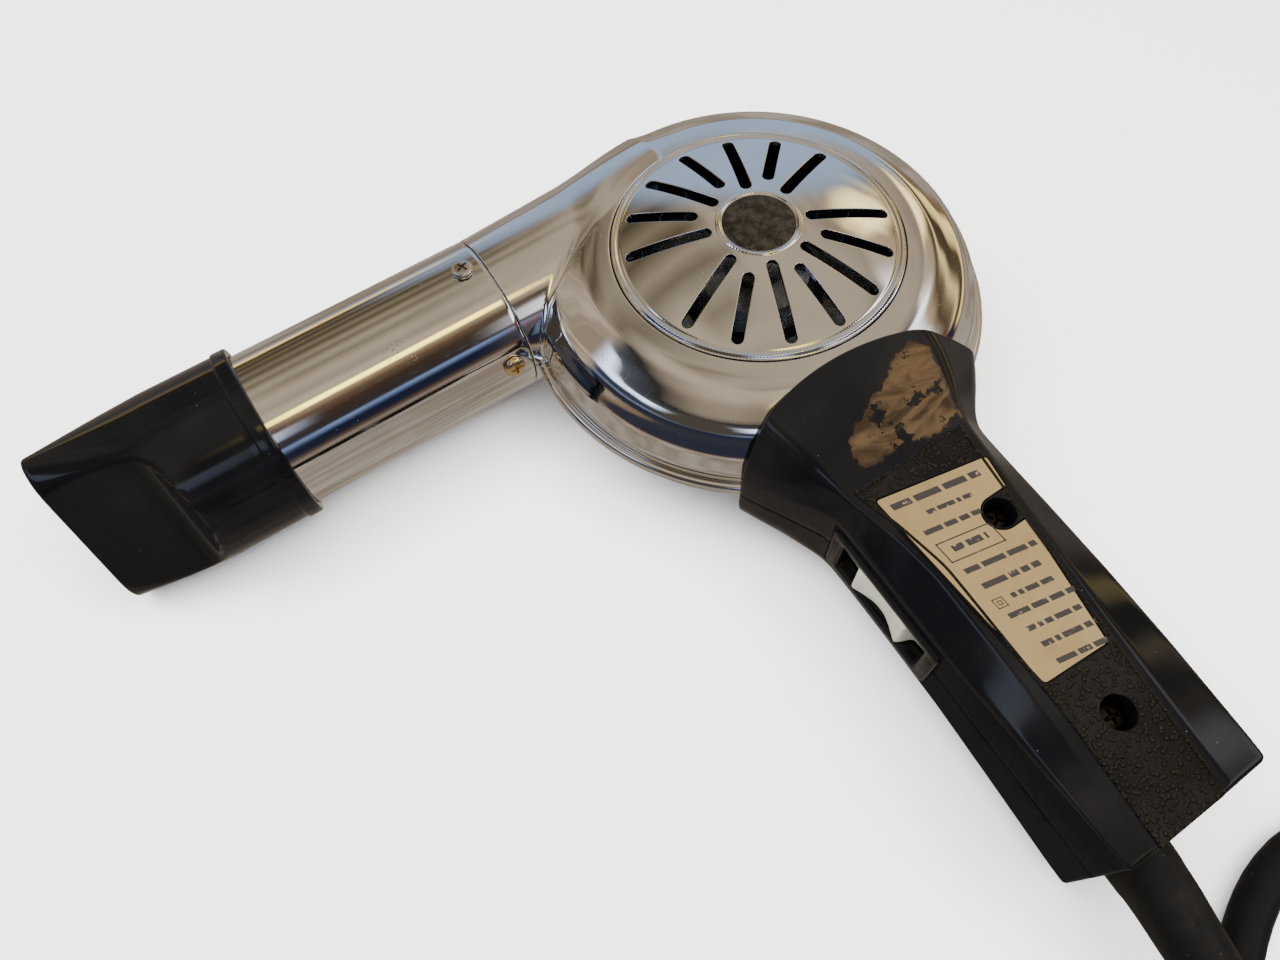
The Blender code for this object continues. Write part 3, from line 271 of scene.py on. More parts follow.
def moulded(name, colour, stain, roughness=0.38, subsurface=0.0):
    """A moulded plastic or board with stains and a faint surface grain."""
    f = Finish(name, colour, roughness, 0.0, Subsurface_Weight=subsurface)
    stained = f.ranged(f.noise(130.0, 5.0, None, 0.6), 0.45, 0.78)
    shade = f.mixed(stained, colour, stain, 0.6)
    shade = f.mixed(f.specks(1600.0, 0.2, 0.08), shade, (0.10, 0.08, 0.05), 0.6)
    rough = f.ranged(stained, 0.0, 1.0, roughness * 0.85, roughness + 0.2)
    return f.made(shade, rough, f.bump(f.noise(1500.0, 3.0), 0.00003, 0.5))


def badge_metal():
    """The hub's disc: dull metal, darkened and speckled all over."""
    f = Finish("badge", (0.20, 0.175, 0.14), 0.42, 0.85)
    blotch = f.noise(420.0, 6.0, None, 0.7)
    shade = f.mixed(f.ranged(blotch, 0.35, 0.68), (0.022, 0.018, 0.012), (0.060, 0.050, 0.036))
    shade = f.mixed(f.specks(2400.0, 0.32, 0.35), shade, (0.020, 0.015, 0.010))
    shade = f.mixed(f.specks(1900.0, 0.24, 0.22), shade, (0.17, 0.14, 0.10), 0.9)
    return f.made(shade, f.ranged(blotch, 0.3, 0.7, 0.30, 0.58), f.bump(blotch, 0.00008, 0.6))


def plate_brass():
    """The rating plate: rolled brass, slightly crumpled, tarnished in patches."""
    f = Finish("plate_brass", (0.80, 0.60, 0.33), 0.38, 1.0)
    tarnish = f.ranged(f.noise(90.0, 5.0, None, 0.6), 0.40, 0.80)
    shade = f.mixed(tarnish, (0.98, 0.80, 0.47), (0.66, 0.47, 0.22), 0.55)
    shade = f.mixed(f.specks(1500.0, 0.16, 0.06), shade, (0.18, 0.11, 0.05), 0.8)
    crumple = f.bump(f.noise(150.0, 3.0, None, 0.55, 0.6), 0.00022, 0.55)
    normal = f.bump(f.noise(1800.0, 2.0), 0.00002, 0.4, crumple)
    return f.made(shade, f.ranged(tarnish, 0.0, 1.0, 0.33, 0.52), normal)


def printed_ink():
    """The plate's print, rubbed through in places."""
    f = Finish("plate_ink", (0.012, 0.010, 0.009), 0.5)
    worn = f.ranged(f.noise(800.0, 3.0), 0.62, 0.74)
    f.set("Base Color", f.mixed(worn, (0.012, 0.010, 0.009), (0.16, 0.11, 0.06)))
    f.set("Roughness", f.ranged(worn, 0.0, 1.0, 0.45, 0.6))
    return f.material


def floor_finish():
    f = Finish("floor", (0.90, 0.90, 0.90), 0.75)
    f.set("Base Color", f.mixed(f.noise(6.0, 4.0), (0.90, 0.90, 0.90), (0.86, 0.86, 0.865)))
    f.set("Normal", f.bump(f.noise(350.0, 3.0), 0.0001, 0.15))
    return f.material


# ---------------------------------------------------------------- camera, light and floor


def placed(name, data):
    """A new object in the scene."""
    thing = bpy.data.objects.new(name, data)
    bpy.context.scene.collection.objects.link(thing)
    return thing


def look_camera():
    """The photograph's camera, fitted to the dryer's circles and the handle's edges."""
    data = bpy.data.cameras.new("camera")
    data.sensor_width = 36.0
    data.lens = 25.98
    data.clip_start = 0.01
    camera = placed("camera", data)
    azimuth, down, roll = (math.radians(angle) for angle in (60.606, 62.313, -4.416))
    ahead = Vector((math.cos(azimuth) * math.cos(down), math.sin(azimuth) * math.cos(down), -math.sin(down)))
    level = ahead.to_track_quat("-Z", "Y").to_matrix().to_4x4()
    place = Matrix.Translation((-0.10292, -0.11657, 0.21374))
    camera.matrix_world = place @ level @ Matrix.Rotation(roll, 4, "Z")
    bpy.context.scene.camera = camera


def soft_light(name, place, target, size, power, colour):
    """A square area light that the chrome doesn't mirror: its highlights come from the room."""
    data = bpy.data.lights.new(name, "AREA")
    data.shape = "SQUARE"
    data.size = size
    data.energy = power
    data.color = colour
    light = placed(name, data)
    light.location = place
    light.rotation_euler = (Vector(target) - Vector(place)).to_track_quat("-Z", "Y").to_euler()
    light.visible_glossy = False


def room_light():
    """A soft room seen in the plating: beige ceiling, a pale window side, dark and golden bands.

    The camera sees a plain pale backdrop in its place."""
    world = bpy.data.worlds.new("room")
    bpy.context.scene.world = world
    world.use_nodes = True
    room = Nodes(world.node_tree, "Generated")
    maths, ranged, over = room.maths, room.ranged, room.mixed
    x, y, z = room.node("ShaderNodeSeparateXYZ", {0: room.place}).outputs

    def facing(azimuth, elevation):
        """The cosine of the angle from a direction given in degrees."""
        a, e = math.radians(azimuth), math.radians(elevation)
        inputs = {0: room.place, 1: (math.cos(a) * math.cos(e), math.sin(a) * math.cos(e), math.sin(e))}
        return room.node("ShaderNodeVectorMath", inputs, operation="DOT_PRODUCT").outputs["Value"]

    def bands(value, stops, full):
        """A colour ramp over degrees from 0 to full."""
        made = room.node("ShaderNodeValToRGB", {0: maths("DIVIDE", value, full)})
        ramp = made.color_ramp
        while len(ramp.elements) < len(stops):
            ramp.elements.new(0.5)
        for element, (at, colour) in zip(ramp.elements, stops, strict=True):
            element.position = at / full
            element.color = (*colour, 1.0)
        return made.outputs["Color"]

    wobble = maths("SUBTRACT", room.noise(3.2, 2.0), 0.5)
    streaks = room.noise(1.0, 3.0, room.stretched((11.0, 1.2, 1.2)))
    shade = over(ranged(streaks, 0.38, 0.62), CEILING_DARK, CEILING)

    # round the barrel's axis
    across = maths("MULTIPLY", maths("ARCTAN2", z, y), 180 / math.pi)
    across = maths("ADD", across, maths("MULTIPLY", wobble, 3.0))
    off_square = maths("ABSOLUTE", maths("ADD", x, maths("MULTIPLY", wobble, 0.1)))
    share = maths("SUBTRACT", 1.0, ranged(off_square, 0.16, 0.40))
    shade = over(share, shade, bands(across, TUBE_BANDS, 180.0))

    # above the horizon on three sides
    height = maths("MULTIPLY", maths("ARCSINE", z), 180 / math.pi)
    height = maths("ADD", height, maths("MULTIPLY", wobble, 6.0))
    height = maths("MAXIMUM", height, 0.0)
    share = maths("MULTIPLY", ranged(x, 0.14, 0.34), ranged(y, 0.12, -0.10))
    shade = over(share, shade, bands(height, NEAR_BANDS, 90.0))
    share = maths("MULTIPLY", ranged(x, -0.02, -0.16), ranged(y, 0.50, 0.36))
    shade = over(share, shade, bands(height, LEFT_BANDS, 90.0))
    share = maths("MULTIPLY", ranged(x, 0.70, 0.80), ranged(z, 0.62, 0.50))
    share = maths("MULTIPLY", share, ranged(maths("ABSOLUTE", maths("SUBTRACT", y, 0.12)), 0.50, 0.38))
    shade = over(share, shade, bands(height, RIGHT_BANDS, 90.0))

    for azimuth, elevation, inner, outer, colour in PANELS:
        near = maths("ADD", facing(azimuth, elevation), maths("MULTIPLY", wobble, 0.05))
        share = ranged(near, math.cos(math.radians(outer)), math.cos(math.radians(inner)))
        shade = over(share, shade, colour)

    # below the horizon: a mottled floor, darker towards its edge
    down = facing(0, -90)
    under = over(ranged(room.noise(5.0, 4.0), 0.35, 0.65), (0.34, 0.28, 0.22), (0.56, 0.50, 0.43))
    under = over(ranged(down, 0.02, 0.10), (0.30, 0.20, 0.13), under)
    shade = over(ranged(down, -0.01, 0.02), shade, under)

    nodes, links = room.tree.nodes, room.tree.links
    links.new(shade, nodes["Background"].inputs["Color"])
    plain = room.node("ShaderNodeBackground", {"Color": (0.80, 0.80, 0.81, 1.0)})
    by_camera = room.node("ShaderNodeLightPath").outputs["Is Camera Ray"]
    seen = room.node("ShaderNodeMixShader",
                     {0: by_camera, 1: nodes["Background"].outputs[0], 2: plain.outputs[0]})
    links.new(seen.outputs[0], nodes["World Output"].inputs["Surface"])


CEILING = (0.74, 0.62, 0.48)
CEILING_DARK = (0.42, 0.34, 0.25)
# degrees round the barrel's axis, from the far horizon over the top to the near one
TUBE_BANDS = (
    (0.0, (0.50, 0.58, 0.70)),
    (5.0, (0.42, 0.48, 0.58)),
    (7.0, (2.2, 1.55, 0.45)),
    (10.0, (1.9, 1.3, 0.40)),
    (12.0, (0.07, 0.05, 0.03)),
    (16.0, (0.10, 0.08, 0.05)),
    (20.0, (0.22, 0.18, 0.11)),
    (24.0, (0.07, 0.055, 0.03)),
    (29.0, (0.25, 0.20, 0.13)),
    (33.0, (0.10, 0.08, 0.05)),
    (40.0, (0.30, 0.25, 0.17)),
    (46.0, (0.14, 0.11, 0.07)),
    (54.0, (0.44, 0.37, 0.27)),
    (60.0, (0.24, 0.20, 0.14)),
    (68.0, (0.56, 0.48, 0.36)),
    (76.0, (0.34, 0.28, 0.20)),
    (88.0, (0.66, 0.56, 0.42)),
    (100.0, (0.50, 0.42, 0.31)),
    (108.0, (0.80, 0.68, 0.50)),
    (113.5, (0.70, 0.58, 0.42)),
    (115.0, (6.0, 4.7, 1.1)),
    (119.0, (5.6, 4.3, 1.0)),
    (121.0, (0.55, 0.42, 0.27)),
    (128.0, (0.20, 0.13, 0.08)),
    (138.0, (0.07, 0.045, 0.03)),
    (153.0, (0.05, 0.04, 0.04)),
    (156.0, (0.28, 0.42, 0.75)),
    (160.0, (0.10, 0.15, 0.30)),
    (163.0, (0.015, 0.02, 0.05)),
    (172.0, (0.02, 0.025, 0.05)),
    (176.0, (0.13, 0.08, 0.05)),
    (180.0, (0.30, 0.26, 0.22)),
)
# degrees above the horizon on the handle's side, and on the right
NEAR_BANDS = (
    (0.0, (0.20, 0.05, 0.03)),
    (5.0, (0.03, 0.03, 0.07)),
    (15.0, (0.015, 0.025, 0.07)),
    (22.0, (0.30, 0.07, 0.035)),
    (27.0, (0.05, 0.05, 0.09)),
    (30.0, (3.2, 3.3, 3.6)),
    (41.0, (2.6, 2.6, 2.7)),
    (44.0, (0.50, 0.50, 0.55)),
    (47.0, (0.03, 0.03, 0.035)),
    (50.0, (0.05, 0.045, 0.04)),
    (53.0, (0.62, 0.52, 0.40)),
    (64.0, (0.80, 0.68, 0.52)),
)
LEFT_BANDS = (
    (0.0, (0.05, 0.05, 0.07)),
    (14.0, (0.02, 0.03, 0.07)),
    (22.0, (0.25, 0.30, 0.42)),
    (27.0, (0.04, 0.05, 0.09)),
    (34.0, (0.08, 0.10, 0.16)),
    (38.0, (1.8, 2.2, 3.2)),
    (45.0, (2.4, 2.7, 3.4)),
    (48.0, (0.12, 0.13, 0.17)),
    (56.0, (0.035, 0.033, 0.033)),
    (62.0, (0.40, 0.33, 0.25)),
    (70.0, (0.74, 0.62, 0.47)),
)
RIGHT_BANDS = (
    (0.0, (0.10, 0.07, 0.04)),
    (3.0, (1.9, 1.45, 0.6)),
    (7.0, (1.2, 0.9, 0.4)),
    (9.0, (0.08, 0.06, 0.04)),
    (14.0, (0.12, 0.09, 0.05)),
    (17.0, (1.5, 1.2, 0.6)),
    (20.0, (0.30, 0.22, 0.13)),
    (24.0, (0.10, 0.07, 0.04)),
    (29.0, (0.65, 0.50, 0.30)),
)
# azimuth and elevation of each soft patch, its core and its edge in degrees, and its colour
PANELS = (
    (55.0, 10.0, 20.0, 33.0, (0.50, 0.66, 0.93)),
    (24.0, 30.0, 5.0, 11.0, (3.0, 2.4, 1.2)),
    (13.0, 62.0, 8.0, 24.0, (0.62, 0.53, 0.40)),
    (-150.0, 35.0, 12.0, 24.0, (0.10, 0.085, 0.07)),
)


def floor():
    """A pale plane, kept out of mirror reflections, where it would turn the black mouldings grey."""
    mesh = bpy.data.meshes.new("floor")
    mesh.from_pydata([(x, y, 0.0) for x, y in ((-3, -3), (3, -3), (3, 3), (-3, 3))], [], [(0, 1, 2, 3)])
    thing = placed("floor", mesh)
    mesh.materials.append(floor_finish())
    thing.visible_glossy = False


look_camera()
room_light()
floor()
soft_light("key", (-0.45, 0.35, 0.75), (-0.05, -0.05, 0), 0.6, 11.0, (1.0, 0.985, 0.96))
soft_light("fill", (0.35, -0.45, 0.75), (-0.05, -0.05, 0), 0.6, 8.0, (0.98, 0.99, 1.0))
soft_light("overhead", (-0.06, -0.04, 0.80), (-0.06, -0.04, 0), 0.9, 21.0, (1.0, 1.0, 1.0))


# ---------------------------------------------------------------- cord


def smooth_line(points, per_span):
    """Points along a Catmull-Rom curve through the given points."""
    path = [Vector(p) for p in points]
    path = [2 * path[0] - path[1], *path, 2 * path[-1] - path[-2]]
    found = []
    for a, b, c, d in zip(path, path[1:], path[2:], path[3:], strict=False):
        for k in range(per_span):
            t = k / per_span
            found.append(0.5 * (2 * b + (c - a) * t + (2 * a - 5 * b + 4 * c - d) * t**2
                                + (3 * b - a - 3 * c + d) * t**3))
    found.append(path[-2])
    return found


def smooth_share(value, low, high):
    """0 up to low, 1 from high on, and an easy rise between."""
    share = np.clip((np.asarray(value, float) - low) / (high - low), 0.0, 1.0)
    return share * share * (3 - 2 * share)


LEAD_ROUTE = (
    (-0.0226, -0.1955, 0.0137),
    (-0.0224, -0.2050, 0.0107),
    (-0.0219, -0.2160, 0.0072),
    (-0.0198, -0.2280, 0.0050),
    (-0.0120, -0.2430, 0.0042),
    (0.0020, -0.2530, 0.0042),
    (0.0200, -0.2550, 0.0042),
    (0.0370, -0.2470, 0.0042),
    (0.0480, -0.2310, 0.0042),
    (0.0510, -0.2110, 0.0042),
    (0.0450, -0.1900, 0.0042),
    (0.0330, -0.1750, 0.0042),
    (0.0170, -0.1690, 0.0042),
    (0.0015, -0.1712, 0.0042),
    (-0.0130, -0.1785, 0.0042),
    (-0.0250, -0.1880, 0.0042),
    (-0.0313, -0.1946, 0.0042),
    (-0.0358, -0.2025, 0.0042),
    (-0.0380, -0.2110, 0.0042),
)
LAID = 2 * CORD_R  # distance between turns that touch
BED_Z = 0.0042  # height of a turn that lies on the floor
LEAD_AT, LEAVE_AT, TAIL_AT = 352, 330, 270  # degrees round the coil


def coil_place(turned):
    """Centre of the cord in the coil: (radius, height) after turning this many turns clockwise."""
    whole = int(turned)
    step = smooth_share(turned - whole, 0.875, 1.0)
    rise = LAID * math.sin(math.radians(60))
    if whole < 2:
        return COIL_R + LAID * (1 - whole - step), BED_Z
    if whole == 2:
        angle = math.radians(180 - 120 * step)
        climb = LAID * math.sin(angle) * min(1, step * 9)
        return COIL_R - LAID + LAID * (math.cos(angle) + step), BED_Z + climb
    if whole == 3:
        return COIL_R - LAID / 2 + LAID * step, BED_Z + rise
    return COIL_R + LAID / 2, BED_Z + rise


def coil_points():
    """The turns, clockwise from where the lead comes in tangentially to where the tail leaves."""
    start = math.radians(LEAD_AT)
    leave = 4 + (LEAD_AT - LEAVE_AT) / 360
    end = 4 + (LEAD_AT - TAIL_AT) / 360
    found = []
    count = 150
    for k in range(count + 1):
        turned = end * k / count
        radius, height = coil_place(turned)
        if turned > leave:
            fall = smooth_share(turned, leave, end)
            angle = math.radians(120 - 120 * fall)
            radius = COIL_R + LAID + LAID * math.cos(angle) * 1.03
            height = BED_Z + LAID * math.sin(angle)
        angle = start - 2 * math.pi * turned
        found.append(COIL_CENTRE + Vector((radius * math.cos(angle), radius * math.sin(angle), height)))
    return found


TAIL_RADIUS = 0.0350
TAIL_START = Vector((-0.1250, -0.3000, 0.0042))
TAIL_TURN = math.radians(40)


def tail_points():
    """The short bend from the coil into the plug."""
    centre = TAIL_START + Vector((0, TAIL_RADIUS, 0))
    points = []
    for k in range(9):
        share = k / 8
        angle = -math.pi / 2 - TAIL_TURN * share
        rise = 0.0020 * share**2 * (3 - 2 * share)
        points.append(centre + Vector((TAIL_RADIUS * math.cos(angle), TAIL_RADIUS * math.sin(angle), rise)))
    return points


def cord_line():
    """The whole cord's middle line, from the sleeve to the plug."""
    lead = smooth_line(LEAD_ROUTE, 5)
    return [*lead, *coil_points(), *tail_points()]


def even_line(points, step):
    """Points about a step apart along the line, as an array."""
    line = np.array([tuple(p) for p in points])
    reach = np.concatenate([[0.0], np.cumsum(np.linalg.norm(np.diff(line, axis=0), axis=1))])
    count = max(2, round(reach[-1] / step) + 1)
    wanted = np.linspace(0.0, reach[-1], count)
    return np.stack([np.interp(wanted, reach, line[:, k]) for k in range(3)], 1)


def softened(line, rounds):
    """The line with its small kinks averaged out, its ends kept."""
    for _ in range(rounds):
        line[1:-1] = 0.25 * line[:-2] + 0.5 * line[1:-1] + 0.25 * line[2:]
    return line


# ---------------------------------------------------------------- shapes, in millimetres


def softer_minimum(a, b, blend):
    """The lesser of two values, rounded off where they are within blend of each other."""
    near = np.maximum(blend - np.abs(a - b), 0.0) / blend
    return np.minimum(a, b) - near**2 * blend / 4


def full_turn(count):
    return np.arange(count) * 2 * np.pi / count


def level_ring(radius, level, turns, other=None):
    """A circle, or an oval of two radii, at a height."""
    other = radius if other is None else other
    return np.stack([radius * np.cos(turns), other * np.sin(turns), np.full(len(turns), level)], 1)


def level_loop(loop, level):
    return np.column_stack([loop, np.full(len(loop), level)])


def grid_faces(rows, cols, wrap=False, flip=False):
    """Quads between the rows of a grid of points; wrap joins the last column to the first."""
    faces = []
    for row in range(rows - 1):
        for col in range(cols if wrap else cols - 1):
            after = (col + 1) % cols
            a = row * cols
            b = a + cols
            face = (a + col, a + after, b + after, b + col)
            faces.append(face[::-1] if flip else face)
    return faces


def skinned(rows, wrap=True, flip=False):
    """Rows of as many points each as a shape: (points, faces)."""
    return np.vstack(rows), grid_faces(len(rows), len(rows[0]), wrap, flip)


def joined(*shapes):
    """Several (points, faces) as one."""
    points, faces, count = [], [], 0
    for some_points, some_faces in shapes:
        points.append(np.asarray(some_points, float))
        faces += [tuple(k + count for k in face) for face in some_faces]
        count += len(some_points)
    return np.vstack(points), faces


def moved(shape, place):
    """The shape moved by a 4x4 matrix whose translation is in millimetres."""
    matrix = np.array(place)
    points = np.asarray(shape[0], float)
    return points @ matrix[:3, :3].T + matrix[:3, 3], shape[1]


def unit_rows(vectors):
    """The rows of an array, each brought to length 1."""
    return vectors / np.maximum(np.linalg.norm(vectors, axis=1), 1e-9)[:, None]


def loop_sides(loop):
    """Unit vectors square to a closed flat loop, to the left of its way round."""
    ahead = unit_rows(np.roll(loop, -1, 0) - np.roll(loop, 1, 0))
    return np.stack([-ahead[:, 1], ahead[:, 0]], 1)


def loop_edges(first, count):
    """The edges of a closed loop of points numbered from first."""
    return [(first + k, first + (k + 1) % count) for k in range(count)]


def triangulated(flat, edges):
    """Triangles through flat points and edges: (points, faces, the faces' middles)."""
    found = delaunay_2d_cdt([Vector(p) for p in flat], edges, [], 0, 1e-5)
    outline = np.array([tuple(p) for p in found[0]])
    faces = [tuple(face) for face in found[2]]
    return outline, faces, outline[np.array(faces)].mean(1)


def facing_out(points, faces, normals):
    """The faces, each turned so that it agrees with its corners' normals."""
    turned = []
    for face in faces:
        a, b, c = points[face[0]], points[face[1]], points[face[2]]
        u, v, n = b - a, c - a, normals[face[0]] + normals[face[1]] + normals[face[2]]
        flow = ((u[1] * v[2] - u[2] * v[1]) * n[0] + (u[2] * v[0] - u[0] * v[2]) * n[1]
                + (u[0] * v[1] - u[1] * v[0]) * n[2])
        turned.append(face if flow >= 0 else face[::-1])
    return turned


def revolved(profile, segments):
    """The (radius, height) profile turned about Z."""
    turns = full_turn(segments)
    rings = [level_ring(r, z, turns) for r, z in profile]
    return skinned(rings, flip=True)


def piece(name, shape, materials, body="dryer", stands_for=(), normals=None, picks=None,
          sharp=35.0, share=None):
    """A mesh piece that rides on a CAD body; its shape is in millimetres."""
    points, faces = shape
    mesh = bpy.data.meshes.new(name)
    mesh.from_pydata((np.asarray(points, float) * MM).tolist(), [], faces)
    for material in materials:
        mesh.materials.append(material)
    if picks is not None:
        mesh.polygons.foreach_set("material_index", np.asarray(picks, np.int32))
    mesh.shade_smooth()
    if share is not None:
        worn = mesh.attributes.new("worn", "FLOAT", "POINT")
        worn.data.foreach_set("value", np.asarray(share, np.float32))
    if normals is None:
        mesh.set_sharp_from_angle(angle=math.radians(sharp))
    else:
        mesh.normals_split_custom_set_from_vertices(np.asarray(normals, float).tolist())
    mesh.update()
    thing = placed(name, mesh)
    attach(thing, body)
    if stands_for:
        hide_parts(*stands_for)


def along_barrel(shape, turn=0.0):
    """A shape whose Z is the barrel's axis, put on it: Z becomes -X, X becomes Z and Y stays."""
    place = Matrix.Translation((0, BARREL_MM, SEAM_MM)) @ Matrix.Rotation(-math.pi / 2, 4, "Y")
    return moved(shape, place @ Matrix.Rotation(turn, 4, "Z"))


# ---------------------------------------------------------------- fan housing

# (radius, height above the seam) of each half's skin
HALF_OUTLINE = (
    (35.4, 20.1),
    (39.4, 19.8),
    (42.3, 19.0),
    (45.3, 17.5),
    (49.7, 15.0),
    (51.3, 13.6),
    (52.6, 11.4),
    (54.5, 8.6),
    (55.9, 4.2),
    (56.3, 0.0),
)
POLE_R = 38.0  # the outline is smoothed as distances from this radius on the seam plane
NECK_END = 57.7
NECK_FLARE = 0.0728  # how much the neck's far side leans out
SKIN_STEP = 0.75  # size of the skin's faces
SKIN_GAP = 0.15  # the halves' skins stop this far from the seam
SKIN_END = -57.35  # x where the neck's skin stops and its lip takes over
CROWN = 12.0  # above the seam, where only the inlet's edge can be an open edge
RIM_MIDDLE = 57.10  # radius of the rolled bead's middle line
OPENING_R = 35.9


def outline_reach():
    """The outline's smoothed distance from its pole, against the angle above the seam plane."""
    angles = np.arange(0.0, 180.0, 0.05)
    line = np.array(HALF_OUTLINE)
    fine = np.vstack([np.linspace(a, b, 60) for a, b in zip(line, line[1:])])
    at = np.degrees(np.arctan2(fine[:, 1], fine[:, 0] - POLE_R))
    far = np.hypot(fine[:, 0] - POLE_R, fine[:, 1])
    order = np.argsort(at)
    reach = np.interp(angles, at[order], far[order])
    plateau = angles > 97.0
    reach[plateau] = HALF_OUTLINE[0][1] / np.maximum(np.sin(np.radians(angles[plateau])), 0.02)
    kernel = np.exp(-0.5 * (np.arange(-160, 161) * 0.05 / 2.0) ** 2)
    padded = np.concatenate([reach[160:0:-1], reach, np.full(160, reach[-1])])
    smooth = np.convolve(padded, kernel / kernel.sum(), "valid")
    late = smooth_share(angles, 100, 112)
    return angles, smooth * (1 - late) + reach * late


ANGLES, REACH = outline_reach()


def body_field(points):
    """Signed distance, about, from the skin of the drum and its neck."""
    x, y, h = points[:, 0], points[:, 1], points[:, 2] - SEAM_MM
    out = np.hypot(x, y)
    angle = np.degrees(np.arctan2(np.abs(h), out - POLE_R))
    drum = np.hypot(out - POLE_R, h) - np.interp(angle, ANGLES, REACH)
    near, far = BARREL_MM - BARREL_R_MM, BARREL_MM + BARREL_R_MM  # the neck's two sides
    far += NECK_FLARE * np.clip(x + NECK_END, 0.0, 56.0)  # the far one runs into the drum's
    half = (far - near) / 2
    neck = np.hypot((y - near - half) / half, h / BARREL_R_MM) * BARREL_R_MM - BARREL_R_MM
    neck += 0.6 * np.maximum(0.0, x + 4.0)
    blend = 1.6 + 3.4 * smooth_share(y, 26.0, 46.0)
    blend = blend * (0.25 + 0.75 * smooth_share(out, 35.5, 44.0))
    return softer_minimum(drum, neck, blend)


def field_slope(points):
    """The field's gradient, by central differences."""
    slope = np.empty_like(points)
    for axis in range(3):
        step = np.zeros(3)
        step[axis] = 0.02
        slope[:, axis] = (body_field(points + step) - body_field(points - step)) / 0.04
    return slope


def on_skin(points, rounds=8):
    """The points drawn along the field's slope onto the skin."""
    for _ in range(rounds):
        slope = field_slope(points)
        size = np.maximum((slope**2).sum(1), 0.2)
        points = points - (body_field(points) / size)[:, None] * slope
    return points


def rough_body():
    """The drum and the neck as one closed mesh of even small faces."""
    profile = [(0.01, 20.3), (34.0, 20.3), *HALF_OUTLINE]
    profile += [(r, -h) for r, h in reversed(profile[:-1])]
    drum = revolved([(r, h + SEAM_MM) for r, h in profile], 160)
    neck = along_barrel(revolved([(0.01, 8.0), (20.0, 8.0), (20.0, 62.0), (0.01, 62.0)], 96))
    points, faces = joined(drum, (neck[0], [f[::-1] for f in neck[1]]))
    mesh = bpy.data.meshes.new("rough")
    mesh.from_pydata((points * 0.1).tolist(), [], faces)
    thing = placed("rough", mesh)
    remesh = thing.modifiers.new("even", "REMESH")
    remesh.mode = "VOXEL"
    remesh.voxel_size = SKIN_STEP * 0.1
    graph = bpy.context.evaluated_depsgraph_get()
    even = thing.evaluated_get(graph).to_mesh()
    count = len(even.vertices)
    found = np.empty(count * 3)
    even.vertices.foreach_get("co", found)
    faces = [tuple(p.vertices) for p in even.polygons]
    thing.evaluated_get(graph).to_mesh_clear()
    bpy.data.objects.remove(thing)
    return found.reshape(-1, 3) * 10, faces


def front_skin():
    """The front half's skin above the seam, open at the inlet and at the neck's end.

    The rough body is drawn onto the skin and cut; its cut edges then stay in their planes."""
    points, faces = rough_body()
    points = on_skin(points)
    bm = bmesh.new()
    for p in points:
        bm.verts.new(p)
    bm.verts.ensure_lookup_table()
    for face in faces:
        bm.faces.new([bm.verts[k] for k in face])
    for place, facing in (((SKIN_END, 0, 0), (-1, 0, 0)), ((0, 0, SEAM_MM + SKIN_GAP), (0, 0, -1))):
        whole = [*bm.verts, *bm.edges, *bm.faces]
        bmesh.ops.bisect_plane(bm, geom=whole, dist=1e-4, plane_co=place, plane_no=facing, clear_outer=True)
    inside = [f for f in bm.faces if math.hypot(*f.calc_center_median()[:2]) < OPENING_R
              and f.calc_center_median()[2] > SEAM_MM + CROWN]
    bmesh.ops.delete(bm, geom=inside, context="FACES")
    for vert in bm.verts:
        out = math.hypot(*vert.co[:2])
        if vert.is_boundary and out < OPENING_R + 2 and vert.co[2] > SEAM_MM + CROWN:
            vert.co[0] *= OPENING_R / out
            vert.co[1] *= OPENING_R / out
    bm.verts.index_update()
    points = np.array([tuple(v.co) for v in bm.verts])
    faces = [tuple(v.index for v in f.verts) for f in bm.faces]
    bm.free()
    kept = np.abs(points[:, 2] - SEAM_MM - SKIN_GAP) > 0.01
    kept &= points[:, 0] > SKIN_END + 0.01
    fixed = points.copy()
    points = on_skin(points, 3)
    rim = np.hypot(fixed[:, 0], fixed[:, 1]) < OPENING_R + 0.01
    points[~kept, 0] = np.where(fixed[~kept, 0] < SKIN_END + 0.05, SKIN_END, points[~kept, 0])
    points[~kept, 2] = np.where(fixed[~kept, 2] < SEAM_MM + 0.2, SEAM_MM + SKIN_GAP, points[~kept, 2])
    points[rim, :2] = fixed[rim, :2]
    return points, faces, unit_rows(field_slope(points))


def opening_lip():
    """The rolled edge round the inlet: (points, faces, normals)."""
    segments = 288
    ring = level_ring(1.0, 0.0, full_turn(segments))
    up = np.array([0.0, 0.0, 1.0])
    rows, normals = [], []
    for out, rise in ((1.1, -0.03), (0.7, 0.03), (0.12, 0.03)):
        edge = on_skin(ring * (OPENING_R + out) + up * (SEAM_MM + 20.2), 5)
        edge[:, :2] = ring[:, :2] * (OPENING_R + out)
        edge_normal = unit_rows(field_slope(edge))
        rows.append(edge + up * rise)
        normals.append(edge_normal)
    for lean in np.radians(np.linspace(10, 90, 7)):
        inward = OPENING_R - 0.05 - 0.42 * np.sin(lean)
        level = edge[:, 2:] - 0.42 * (1 - np.cos(lean))
        rows.append(np.hstack([ring[:, :2] * inward, level]))
        share = smooth_share(lean, 0, 0.5)
        tilt = up * np.cos(lean) - ring * np.sin(lean)
        normals.append(unit_rows(edge_normal * (1 - share) + tilt * share))
    rows.append(np.hstack([ring[:, :2] * (OPENING_R - 0.47), edge[:, 2:] - 1.6]))
    normals.append(-ring)
    return *skinned(rows), np.vstack(normals)


